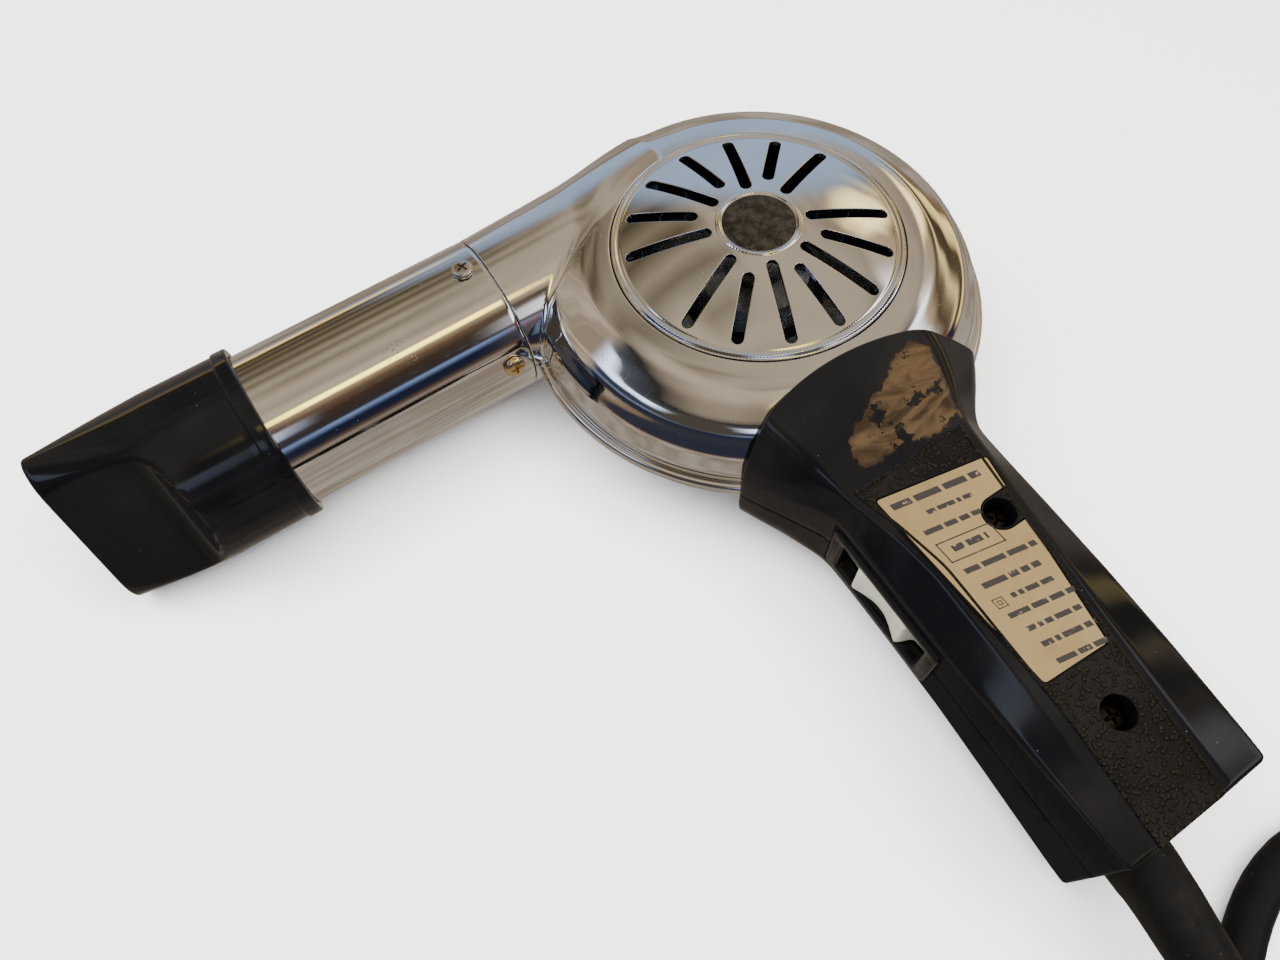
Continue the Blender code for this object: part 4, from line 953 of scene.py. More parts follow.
def neck_lip():
    """The neck's turned-in end: (points, faces, normals)."""
    segments = 160
    turns = np.pi * np.arange(segments + 1) / segments
    rows, normals = [], []
    line = [(-57.33, 0.0, 0), (-57.45, 0.02, 15), (-57.6, 0.10, 45), (-57.7, 0.28, 80), (-57.7, 1.0, 90)]
    for x, inward, lean in line:
        lean = math.radians(lean)
        out = np.stack([np.zeros(segments + 1), np.cos(turns), np.sin(turns)], 1)
        points = out * (BARREL_R_MM - inward)
        points[:, 0] = x
        points += np.array([0.0, BARREL_MM, SEAM_MM])
        points[:, 2] = np.maximum(points[:, 2], SEAM_MM + SKIN_GAP)
        rows.append(points)
        normals.append(out * math.cos(lean) + np.array([-1.0, 0, 0]) * math.sin(lean))
    return *skinned(rows, wrap=False), np.vstack(normals)


RIM_START = math.radians(168.4)  # the rim stops at the neck's near corner
RIM_END = math.radians(109.0 - 360.0)


def rolled_rim():
    """The rolled bead along the seam, upper half: (points, faces, normals)."""
    segments = 420
    wide, tall = 1.26, 1.5  # the bead's half width and height
    turns = np.linspace(RIM_START, RIM_END, segments + 1)
    leans = np.radians(np.linspace(176, 2, 15))
    size = smooth_share(np.degrees(RIM_START - turns), 0.0, 2.2) * 0.9 + 0.1
    size *= smooth_share(np.degrees(turns - RIM_END), 0.0, 9.0) * 0.9 + 0.1
    rows, normals = [], []
    for lean in leans:
        across = RIM_MIDDLE + wide * size * np.cos(lean) - 0.9 * (1 - size)
        level = SEAM_MM + 0.05 + tall * size * np.sin(lean)
        rows.append(np.stack([across * np.cos(turns), across * np.sin(turns), level], 1))
        tilt = np.array([math.cos(lean) / wide, math.sin(lean) / tall])
        tilt /= np.linalg.norm(tilt)
        normals.append(level_ring(tilt[0], tilt[1], turns))
    rows.append(rows[-1] * [1, 1, 0] + [0, 0, SEAM_MM + 0.05])
    normals.append(normals[-1])
    return *skinned(rows, wrap=False), np.vstack(normals)


def housing(finish):
    """The two drawn halves: the rear one mirrors the front one."""
    parts = [front_skin(), opening_lip(), neck_lip(), rolled_rim()]
    points, faces = joined(*[(p, f) for p, f, _ in parts])
    normals = np.vstack([n for _, _, n in parts])
    for side in ("front", "rear"):
        faces = facing_out(points, faces, normals)
        piece(f"{side}_shell_skin", (points, faces), [finish], stands_for=(f"{side}_shell",),
              normals=normals)
        points = points * [1, 1, -1] + [0, 0, 2 * SEAM_MM]
        normals = normals * [1, 1, -1]


# ---------------------------------------------------------------- slotted discs


def slot_loop(inner, outer, half, turn, grow):
    """A round-ended slot along a radius, from inner to outer tip, grown by a margin, anticlockwise."""
    near, far = inner + half, outer - half
    turns = np.linspace(-np.pi / 2, np.pi / 2, 14)
    side = np.linspace(near, far, 26)[1:-1]
    tip = np.stack([np.cos(turns), np.sin(turns)], 1)
    flank = np.tile([0.0, 1.0], (len(side), 1))
    outward = np.vstack([tip, flank, -tip, -flank])
    loop = outward * (half + grow)
    loop[:, 0] += np.concatenate([np.full(len(tip), far), side[::-1], np.full(len(tip), near), side])
    c, s = math.cos(turn), math.sin(turn)
    spin = np.array([[c, s], [-s, c]])
    return loop @ spin, outward @ spin


def slot_distance(flat, slot):
    """How far flat points are from a slot's middle line."""
    inner, outer, half, turn = slot
    c, s = math.cos(turn), math.sin(turn)
    along = flat[:, 0] * c + flat[:, 1] * s
    across = -flat[:, 0] * s + flat[:, 1] * c
    return np.hypot(along - np.clip(along, inner + half, outer - half), across)


def slotted_disc(height, radii, slots, depth=0.9):
    """A pressed disc with slots whose edges are rolled in: height and slope by radius."""
    grow = 0.22  # radius of a slot's rolled edge

    def on_disc(flat):
        """Heights and normals of the disc at flat points."""
        out = np.hypot(flat[:, 0], flat[:, 1])
        level, slope = height(out)
        tilt = -slope / np.maximum(out, 1e-6)
        return level, unit_rows(np.column_stack([flat * tilt[:, None], np.ones(len(flat))]))

    flat, edges = [], []
    for slot in slots:
        loop, _ = slot_loop(*slot, grow)
        edges += loop_edges(len(flat), len(loop))
        flat += loop.tolist()
    for index, radius in enumerate(radii):
        border = index in (0, len(radii) - 1)
        count = max(24, round(2 * np.pi * radius / (0.55 if border else 0.75)))
        turns = (np.arange(count) + 0.5 * (index % 2)) * 2 * np.pi / count
        ring = level_ring(radius, 0.0, turns)[:, :2]
        clear = np.ones(count, bool)
        for slot in slots:
            clear &= slot_distance(ring, slot) > slot[2] + grow + 0.12
        if border:
            edges += loop_edges(len(flat), count)
        flat += ring[clear].tolist()
    outline, faces, middles = triangulated(flat, edges)
    out = np.hypot(middles[:, 0], middles[:, 1])
    kept = (min(radii) * 0.999 < out) & (out < max(radii))
    for slot in slots:
        kept &= slot_distance(middles, slot) >= slot[2] + grow * 0.6
    level, normals = on_disc(outline)
    shapes = [(np.column_stack([outline, level]), [face for face, keep in zip(faces, kept) if keep])]
    all_normals = [normals]
    for slot in slots:
        rows, row_normals = [], []
        for lean in np.radians([0, 18, 36, 54, 72, 90]):
            loop, outward = slot_loop(*slot, grow * (1 - math.sin(lean)))
            level, base = on_disc(loop)
            rows.append(np.column_stack([loop, level - grow * (1 - math.cos(lean))]))
            into = level_loop(-outward, 0.0)
            row_normals.append(unit_rows(base * math.cos(lean) + into * math.sin(lean)))
        rows.append(rows[-1] - [0, 0, depth])
        row_normals.append(row_normals[-1])
        shapes.append(skinned(rows))
        all_normals.append(np.vstack(row_normals))
    points, faces = joined(*shapes)
    normals = np.vstack(all_normals)
    return points, facing_out(points, faces, normals), normals


DOME_SPHERE = 106.8  # the pressed dome's radius


def bead(out, centre, half, rise):
    """Height and slope of a rounded bead at a radius."""
    phase = np.clip((out - centre) / half, -1, 1) * np.pi
    inside = np.abs(out - centre) < half
    return rise * 0.5 * (1 + np.cos(phase)), np.where(inside, -rise * 0.5 * np.sin(phase) * np.pi / half, 0.0)


def grille_height(out):
    """The grille's dome with its beads: height and slope at a radius."""
    base = math.sqrt(DOME_SPHERE**2 - 35.0**2)
    level = RING_MM - 0.15 + np.sqrt(DOME_SPHERE**2 - out**2) - base
    slope = -out / np.sqrt(DOME_SPHERE**2 - out**2)
    for centre, half, rise in ((34.35, 0.62, 0.42), (9.5, 0.75, 0.42)):
        more, tilt = bead(out, centre, half, rise)
        level, slope = level + more, slope + tilt
    dip, tilt = bead(out, 33.35, 0.55, -0.12)
    return level + dip, slope + tilt


GRILLE_SLOTS = [
    (11.35 if k % 2 else 14.56, 32.03, 1.4, math.radians(22.5 * k)) for k in range(1, 16) if k != 8
]


def grille(finish, badge_finish):
    """The slotted dome and the disc in its middle."""
    radii = [8.75, 8.9, 9.05, 9.2, 9.35, 9.5, 9.65, 9.8, 9.95, 10.1, 10.25, 10.45, 10.8]
    radii += list(np.arange(11.5, 32.7, 0.75)) + [32.65, 32.9]
    radii += list(np.arange(33.05, 35.3, 0.13))
    points, faces, normals = slotted_disc(grille_height, radii, GRILLE_SLOTS)
    piece("grille_dome", (points, faces), [finish], stands_for=("inlet_grille",),
          normals=normals)
    top = float(grille_height(np.array([9.0]))[0][0])
    profile = [(0.01, top + 0.28), (3.0, top + 0.27), (6.0, top + 0.22), (8.2, top + 0.12),
               (8.55, top + 0.05), (8.72, top - 0.12), (8.76, top - 0.5)]
    piece("grille_badge_disc", revolved(profile, 160), [badge_finish], stands_for=("grille_badge",),
          sharp=50)


def cover_height(out):
    """The rear cover, turned to face up: a flat with a rounded shoulder."""
    shoulder = np.clip(out - 31.0, 0, 3.75)
    inside = 1 - (shoulder / 3.85) ** 2
    drop = 3.0 * (1 - np.sqrt(np.maximum(inside, 0.0)))
    return -drop, -3.0 * shoulder / 3.85**2 / np.sqrt(np.maximum(inside, 0.02))


def rear_cover(finish):
    slots = [(23.5, 29.0, 1.1, math.radians(30 * k + 15)) for k in range(12)]
    radii = [0.4, 0.8, 1.6, *np.arange(2.5, 23, 1.0), *np.arange(23.3, 31, 0.75)]
    radii += list(np.arange(31.0, 34.0, 0.3)) + [34.2, 34.35, 34.5, 34.62, 34.72]
    points, faces, normals = slotted_disc(cover_height, radii, slots, 0.7)
    points = points * [1, -1, -1]
    normals = normals * [1, -1, -1]
    faces = facing_out(points, faces, normals)
    piece("rear_cover_dome", (points, faces), [finish], stands_for=("rear_cover",),
          normals=normals)


# ---------------------------------------------------------------- barrel, nozzle and screws


def tube(finish):
    start, end, bore = 58.0, TUBE_END / MM, 19.3
    profile = [(bore, start), (19.8, start), (19.93, start + 0.06), (20.0, start + 0.25)]
    profile += [(BARREL_R_MM, x) for x in np.linspace(start + 1, end - 0.5, 24)]
    profile += [(19.9, end), (bore, end), (bore, end - 12), (bore, start + 12), (bore, start)]
    shape = revolved(profile, 200)
    piece("barrel_skin", along_barrel(shape), [finish], stands_for=("barrel_tube",), sharp=40)


# (distance along the barrel, radius) of the nozzle's collar
NOZZLE_PROFILE = (
    (119.7, 20.9),
    (119.7, 21.95),
    (119.8, 22.2),
    (120.0, 22.35),
    (120.3, 22.4),
    (122.9, 22.4),
    (123.2, 22.33),
    (123.38, 22.15),
    (123.45, 21.95),
    (123.8, 21.9),
)
NOZZLE_R = 21.9
MOUTH_LENGTH, MOUTH_WIDTH, MOUTH_BULGE = 21.6, 6.2, 8.8  # the mouth's half sizes
FLATS_START, MOUTH_AT = 141.0, 168.0  # along the barrel
NOZZLE_WALL, NOZZLE_LIP = 1.9, 0.8
NOZZLE_COUNT = 360  # points round a section
MOUTH_TURN = math.radians(25.5)  # from upright


def nozzle_section(height, wall):
    """Round behind the flats, then an oval whose two long sides are scooped flat, softly."""
    along = np.clip((height - FLATS_START) / (MOUTH_AT - FLATS_START), 0.0, 1.0)
    share = 0.42 * (1.0 - np.exp(-((along / 0.10) ** 1.6))) + 0.58 * along
    length = NOZZLE_R + share * (MOUTH_LENGTH - NOZZLE_R) - wall
    bulge = NOZZLE_R + along**1.8 * (MOUTH_BULGE - NOZZLE_R) - wall
    flat = NOZZLE_R + share * (MOUTH_WIDTH - NOZZLE_R) - wall
    section = level_ring(length, height, full_turn(NOZZLE_COUNT), 1.0)
    side = section[:, 1]
    across = softer_minimum(bulge * np.abs(side), flat, 0.15 + 1.1 * share)
    section[:, 1] = np.maximum(across, 0.0) * np.sign(side)
    return section


def nozzle(finish):
    """The nozzle's moulding: collar, outside, rolled lip at the mouth, then the inside."""
    turns = full_turn(NOZZLE_COUNT)
    lip_from = MOUTH_AT - NOZZLE_LIP
    rows = [level_ring(r, z, turns) for z, r in NOZZLE_PROFILE]
    rows += [nozzle_section(z, 0.0) for z in np.linspace(125.0, lip_from, 58)]
    for lean in np.radians([15, 35, 55, 75, 90]):
        rows.append(nozzle_section(lip_from + NOZZLE_LIP * math.sin(lean), NOZZLE_LIP * (1 - math.cos(lean))))
    for lean in np.radians([90, 60, 30, 0]):
        inward = NOZZLE_WALL - NOZZLE_LIP * math.sin(lean)
        rows.append(nozzle_section(lip_from + NOZZLE_LIP * math.sin(lean), inward))
    rows += [nozzle_section(z, NOZZLE_WALL) for z in np.linspace(166.0, 142.0, 14)]
    rows += [level_ring(r, z, turns) for r, z in
             ((19.9, 141.0), (19.2, 129.0), (19.2, 128.4), (20.3, 128.4), (20.3, 119.9), (20.9, 119.7))]
    shape = skinned(rows, flip=True)
    piece("nozzle_moulding", along_barrel(shape, MOUTH_TURN), [finish], body="nozzle",
          stands_for=("nozzle",), sharp=50)


def cross_screw(radius, height):
    """A pan head with its cross sunk in: Z points out of the head."""
    turns = full_turn(120)
    reach, blade = 0.58 * radius, 0.13 * radius
    rows = []
    for share in np.linspace(0.004, 1.0, 46):
        row = level_ring(share * radius, height * (1 - 0.30 * share**2.2 - 0.22 * share**9), turns)
        x, y = np.abs(row[:, 0]), np.abs(row[:, 1])
        arm = np.minimum(x, y) - blade * (1.15 - 0.5 * share)
        inside = np.maximum(arm, np.maximum(x, y) - reach)
        deep = 0.72 * height * (1 - 0.35 * np.maximum(x, y) / reach)
        row[:, 2] -= deep * (1 - smooth_share(inside, -0.10 * radius, 0.015 * radius))
        rows.append(row)
    for out, level in ((radius + 0.02, 0.36 * height), (radius, 0.10 * height), (radius * 0.97, 0.0)):
        rows.append(level_ring(out, level, turns))
    return skinned(rows)


def millimetres(place):
    """A placement given in metres, for shapes in millimetres."""
    matrix = place.copy()
    matrix.translation = matrix.translation / MM
    return matrix


def screws(finish, brassy, shade_darkened):
    """The barrel's two screws and the two deep in the handle's holes."""
    top = Matrix.Translation((-0.0630, BARREL_Y, SEAM_Z + BARREL_R + 0.0001))
    side = Matrix.Translation((-0.0630, BARREL_Y, SEAM_Z)) @ Matrix.Rotation(math.radians(78), 4, "X")
    side = side @ Matrix.Translation((0, 0, BARREL_R + 0.0001))
    twist = Matrix.Rotation(math.radians(22), 4, "Z")
    head = cross_screw(2.65, 1.75)
    for name, place, look in (("top", top @ twist, finish), ("side", side, brassy)):
        piece(f"barrel_screw_{name}_head", moved(head, millimetres(place)), [look],
              stands_for=(f"barrel_screw_{name}",), sharp=32)
    # the handle's two heads take a near-black steel: painted shade for the depth of the holes they sit in
    head = cross_screw(2.8, 1.5)
    for number, (x, y) in enumerate(HANDLE_SCREWS, start=1):
        place = Matrix.Translation((x, y, 35.8)) @ Matrix.Rotation(0.7 * number, 4, "Z")
        piece(f"handle_screw_{number}_head", moved(head, place), [shade_darkened],
              stands_for=(f"handle_screw_{number}",), sharp=32)


# ---------------------------------------------------------------- handle

# along the handle: y, left wall, its height, panel's left edge, base height, panel's right edge,
# right wall's height, right wall, rounding
HANDLE_STATIONS = np.array([
    (-30.0, -40.6, 8.0, -29.4, 21.8, 15.2, 9.0, 35.8, 6.0),
    (-34.0, -40.0, 8.0, -29.0, 21.6, 15.0, 9.0, 35.0, 6.0),
    (-42.0, -38.5, 8.0, -28.0, 21.0, 14.5, 9.0, 33.0, 6.0),
    (-48.0, -36.0, 8.2, -27.0, 20.2, 13.5, 9.5, 29.5, 5.5),
    (-56.0, -32.0, 9.0, -25.7, 18.7, 11.0, 10.0, 23.0, 4.2),
    (-61.5, -29.2, 9.8, -25.2, 17.4, 8.8, 10.4, 16.9, 2.2),
    (-64.5, -27.7, 10.3, -25.0, 16.95, 8.0, 10.6, 14.2, 1.4),
    (-66.0, -27.1, 10.4, -25.0, 16.9, 7.8, 10.6, 13.3, 1.2),
    (-75.0, -27.3, 10.5, -22.5, 16.9, 6.3, 10.8, 12.8, 1.2),
    (-88.0, -27.7, 10.7, -20.6, 16.9, 4.2, 11.0, 12.3, 1.2),
    (-106.0, -28.4, 11.0, -21.5, 16.9, 1.3, 11.5, 11.2, 1.2),
    (-124.0, -29.1, 13.0, -22.3, 16.9, -1.6, 13.0, 9.0, 1.2),
    (-144.0, -29.8, 15.6, -24.5, 16.9, -4.9, 15.3, 5.5, 0.9),
    (-149.0, -29.9, 15.8, -25.0, 16.9, -5.7, 15.6, 4.6, 0.9),
])
PANEL_RAISE = 0.5
PANEL_MM = 40.5  # height of the flat panel
PANEL_STEP = (64.4, 65.15)  # where it rises, measured down the handle
PEBBLES_FROM = -64.9
FLAT_FROM, FLAT_TO = -65.5, -143.5  # the panel between these is one flat patch
WINDOW = (-100.6, -67.6)  # behind the switch's frame
SCREW_HOLE_R = 3.6  # with the rolled edge
SCREW_FLOORS = {1: 36.2, -1: 34.0}  # heights of the holes' floors in each half
PLATE_FLOOR = PANEL_MM - 0.62  # of the recess the rating plate lies in
HANDLE_SCREWS = ((-1.4, -85.3), (-12.0, -127.4))
WINDOW_SHARE = 0.73  # of the side wall's height, kept open behind the switch's frame


def station_table():
    """The stations at every 0.2 mm along the handle, smoothed where the saddle sweeps."""
    ys = np.arange(-152.0, -28.0, 0.2)
    order = HANDLE_STATIONS[::-1]
    kernel = np.exp(-0.5 * (np.arange(-20, 21) * 0.2 / 1.7) ** 2)
    columns = []
    for k in range(1, 9):
        line = np.interp(ys, order[:, 0], order[:, k])
        padded = np.concatenate([2 * line[0] - line[20:0:-1], line, 2 * line[-1] - line[-2:-22:-1]])
        columns.append(np.convolve(padded, kernel / kernel.sum(), "valid"))
    return ys, columns


STATION_Y, STATION_COLUMNS = station_table()


def column_plan():
    """Where each column of the handle's skin lies: (kind, corner or side, share or distance)."""
    edge = (0.12, 0.22, 0.30, 0.38, 0.46, 0.54, 0.62, 0.72, 0.85, 1.1)
    walls = {
        0: (0.08, 0.2, 0.35, 0.5, 0.62, WINDOW_SHARE, 0.84, 0.93),
        1: (0.12, 0.25, 0.4, 0.55, 0.7, 0.85),
        2: np.linspace(0.1, 0.9, 22),
        3: (0.12, 0.25, 0.4, 0.55, 0.7, 0.85),
        4: (0.1, 0.25, 0.4, 0.6, 0.8, 0.92),
    }
    plan = [("seam", 0, inset) for inset in (0.0, 0.5, 1.0)]
    for index, shares in walls.items():
        if index > 0:
            plan += [("bend", index, t) for t in np.linspace(0, 1, 11)]
        if index == 2:
            plan += [("left", 2, d) for d in edge]
        plan += [("side", index, t) for t in shares]
        if index == 2:
            plan += [("right", 2, d) for d in edge[::-1]]
    plan += [("seam", 5, inset) for inset in (1.0, 0.5, 0.0)]
    return plan


PLAN = column_plan()
FIRST_FLAT = next(k for k, p in enumerate(PLAN) if p[0] == "left") + 9
LAST_FLAT = len(PLAN) - 1 - (next(k for k, p in enumerate(PLAN[::-1]) if p[0] == "right") + 9)
WINDOW_COLUMN = next(k for k, p in enumerate(PLAN) if p[2] == WINDOW_SHARE)


def skin_point(y, inset):
    """x and height of every column; y and inset hold one value per column and row."""
    left, left_h, panel_l, panel_h, panel_r, right_h, right, reach = (
        np.interp(y, STATION_Y, column) for column in STATION_COLUMNS
    )
    corners = [
        np.stack([left + inset, 0 * left + 0.12], -1),
        np.stack([left + inset, left_h - inset / 2], -1),
        np.stack([panel_l + inset / 2, panel_h - inset], -1),
        np.stack([panel_r - inset / 2, panel_h - inset], -1),
        np.stack([right - inset, right_h - inset / 2], -1),
        np.stack([right - inset, 0 * left + 0.12], -1),
    ]
    reach = reach[..., None]
    ahead = [b - a for a, b in zip(corners, corners[1:])]
    length = [np.linalg.norm(v, axis=-1)[..., None] for v in ahead]
    ahead = [v / n for v, n in zip(ahead, length)]
    reach = np.minimum(reach, 0.46 * np.minimum.reduce(length))
    found = np.empty(y.shape + (2,))
    raised = np.zeros(y.shape)
    for col, (kind, index, value) in enumerate(PLAN):
        at = (slice(None), col)
        r = reach[at]
        start = corners[index][at] + (ahead[index][at] * r if 0 < index < 5 else 0)
        if kind == "seam":
            side = 1 if index == 0 else -1
            sunk, lift = ((0.28, 0.03), (0.07, 0.12), (0.0, 0.34))[(0.0, 0.5, 1.0).index(value)]
            found[at] = corners[index][at] + np.array([side * sunk, lift])
        elif kind == "bend":
            before = corners[index][at] - ahead[index - 1][at] * r
            found[at] = (before * (1 - value) ** 2 + corners[index][at] * 2 * value * (1 - value)
                         + start * value**2)
        else:
            base = np.array([0.0, 0.45]) if index == 0 else 0
            first = start + base
            last = corners[index + 1][at] - (ahead[index][at] * r if index < 4 else np.array([0, -0.45]))
            if kind == "side":
                if index == 2:
                    first, last = first + [1.2, 0], last - [1.2, 0]
                found[at] = first * (1 - value) + last * value
                raised[at] = float(index == 2)
            else:
                found[at] = first + [value, 0] if kind == "left" else last - [value, 0]
                raised[at] = smooth_share(value, 0.25, 0.68)
    lift = PANEL_RAISE * smooth_share(-y, *PANEL_STEP)
    found[..., 1] += raised * lift
    return found


def saddle_line(x):
    """Where the handle's front edge runs on the housing."""
    return -95.7 + np.sqrt(58.0**2 - (x + 8.2) ** 2)


PLATE_CORNERS = ((-20.6, -69.1), (5.3, -74.0), (-3.8, -116.8), (-19.3, -116.0))


def plate_outline(grow):
    """The rating plate's outline with rounded corners and the notch round the upper screw."""
    corners = [Vector(c) for c in PLATE_CORNERS]
    bite = 4.0 - grow
    screw_x, screw_y = HANDLE_SCREWS[0]
    points = []
    for k, corner in enumerate(corners):
        before = (corners[k - 1] - corner).normalized()
        after = (corners[(k + 1) % 4] - corner).normalized()
        a, b = corner + before * 0.9, corner + after * 0.9
        for t in np.linspace(0, 1, 7):
            points.append(a * (1 - t) ** 2 + corner * 2 * t * (1 - t) + b * t * t)
        if k == 1:
            edge = corners[2] - corners[1]
            for height in (bite, -bite):
                share = (screw_y + height - corner.y) / edge.y
                mouth = corner + edge * share
                inward = [Vector((mouth.x + (screw_x - mouth.x) * t, screw_y + height)) for t in (0.15, 0.5)]
                if height > 0:
                    points += [corner + edge * share * t for t in (0.3, 0.6, 0.9)]
                    points += [mouth + Vector((0, 0.01)), *inward]
                    turns = np.linspace(np.pi / 2, 3 * np.pi / 2, 25)
                    points += [Vector((screw_x + bite * math.cos(a), screw_y + bite * math.sin(a)))
                               for a in turns]
                else:
                    points += [*inward[::-1], mouth]
        following = corners[(k + 1) % 4]
        if k != 1:
            points += [corner + (following - corner) * t for t in np.linspace(0.1, 0.9, 16)]
        else:
            points += [points[-1] + (following - points[-1]) * t for t in np.linspace(0.2, 0.8, 6)]
    line = np.array([tuple(p) for p in points])
    if grow:
        notch = np.hypot(line[:, 0] - screw_x, line[:, 1] - screw_y) < 6.5
        line = np.where(notch[:, None], line, line + loop_sides(line) * grow)
    return line


def in_loop(points, loop):
    """Which flat points lie inside a closed loop."""
    inside = np.zeros(len(points), bool)
    x, y = points[:, 0], points[:, 1]
    for (ax, ay), (bx, by) in zip(loop, np.roll(loop, -1, 0)):
        crosses = (ay > y) != (by > y)
        with np.errstate(divide="ignore", invalid="ignore"):
            inside ^= crosses & (x < (bx - ax) * (y - ay) / (by - ay) + ax)
    return inside


def circle_loop(x, y, radius):
    return level_ring(radius, 0.0, full_turn(64))[:, :2] + [x, y]


def flat_patch(border, holes, level, step=1.3):
    """A level patch inside a border loop, around hole loops: (points, faces)."""
    flat, edges = [], []
    for loop in (border, *holes):
        edges += loop_edges(len(flat), len(loop))
        flat += loop.tolist()
    low, high = border.min(0), border.max(0)
    xs, ys = np.meshgrid(np.arange(low[0], high[0], step), np.arange(low[1], high[1], step))
    inner = np.stack([xs.ravel(), ys.ravel()], 1)
    keep = in_loop(inner, border)
    for loop in (border, *holes):
        for k in range(len(inner)):
            if keep[k] and np.min(np.hypot(*(loop - inner[k]).T)) < 0.6:
                keep[k] = False
    for loop in holes:
        keep &= ~in_loop(inner, loop)
    flat += inner[keep].tolist()
    outline, faces, middles = triangulated(flat, edges)
    good = in_loop(middles, border)
    for loop in holes:
        good &= ~in_loop(middles, loop)
    return level_loop(outline, level), [face for face, ok in zip(faces, good) if ok]


def sunk_loop(loop, level, bottom):
    """The rolled edge and the wall of a recess that goes down from level to bottom."""
    roll = 0.25
    into = loop_sides(loop)
    if ((loop.mean(0) - loop) * into).sum() < 0:
        into = -into
    rows = []
    for lean in np.radians([0, 22, 45, 68, 90]):
        rows.append(level_loop(loop + into * roll * math.sin(lean), level - roll * (1 - math.cos(lean))))
    rows.append(level_loop(rows[-1][:, :2], bottom))
    return skinned(rows)


def handle_rows():
    """(place, inset, kind) of each row of the handle's skin.

    Place is the distance behind the saddle's edge for an edge row, the share of the way from there
    to the panel for a saddle row, and y for a body row."""
    lip = 0.8
    rows = [(0.0, inset, "edge") for inset in (5.0, 3.6, 2.4, 1.5)]
    for lean in np.radians([90, 72, 54, 36, 18, 0]):
        rows.append((lip * (1 - math.sin(lean)), lip * (1 - math.cos(lean)), "edge"))
    rows += [(lip + d, 0.0, "edge") for d in (0.5, 1.1)]
    rows += [(share, 0.0, "saddle") for share in np.linspace(0.03, 1.0, 30)]
    places = [-64.35, -64.45, -64.55, -64.65, -64.75, -64.85, -64.95, -65.05, -65.15, -65.3, -65.6, -66.2]
    places += list(np.arange(-67.4, -146.4, -1.2)) + [-146.6]
    rows += [(y, 0.0, "body") for y in places]
    for lean in np.radians([0, 15, 30, 45, 60, 75, 90]):
        rows.append((-146.9 - 1.1 * math.sin(lean), 1.1 * (1 - math.cos(lean)), "body"))
    return rows


def handle_grid():
    """The skin of one half as a grid of points: rows along the handle, columns across it."""
    rows = handle_rows()
    columns = len(PLAN)
    y = np.zeros((len(rows), columns))
    inset = np.zeros_like(y)
    x = skin_point(np.full_like(y, -50.0), inset)[..., 0]
    for _ in range(6):
        edge = saddle_line(np.clip(x, -60, 45))
        for k, (place, sunk, kind) in enumerate(rows):
            inset[k] = sunk
            if kind == "edge":
                y[k] = edge[k] - place
            elif kind == "saddle":
                y[k] = (edge[k] - 1.9) * (1 - place) + -64.2 * place
            else:
                y[k] = place
        x = skin_point(y, inset)[..., 0]
    found = skin_point(y, inset)
    points = np.stack([found[..., 0], y, found[..., 1] + SEAM_MM + 0.03], -1)
    return points, rows


# the rubbed patch's outline on the saddle
WORN_EDGE = np.array([
    (8.8, -43.4), (12.5, -46.7), (11.5, -53.0), (9.6, -59.0), (8.4, -64.1), (0.0, -64.1), (-8.1, -62.8),
    (-18.2, -62.0), (-18.6, -59.1), (-17.1, -55.7), (-14.2, -53.2), (-8.4, -51.1), (-3.0, -48.6),
    (2.2, -45.8),
])


def worn_share(points):
    """1 well inside the rubbed patch on the saddle, 0 well outside it."""
    flat = points[:, :2]
    away = np.full(len(flat), 1e9)
    for a, b in zip(WORN_EDGE, np.roll(WORN_EDGE, -1, 0)):
        along = np.clip(((flat - a) @ (b - a)) / ((b - a) @ (b - a)), 0, 1)
        away = np.minimum(away, np.hypot(*(flat - a - along[:, None] * (b - a)).T))
    signed = np.where(in_loop(flat, WORN_EDGE), away, -away)
    return np.clip(0.5 + signed / 5.0, 0, 1) * (points[:, 2] > SEAM_MM + 14)


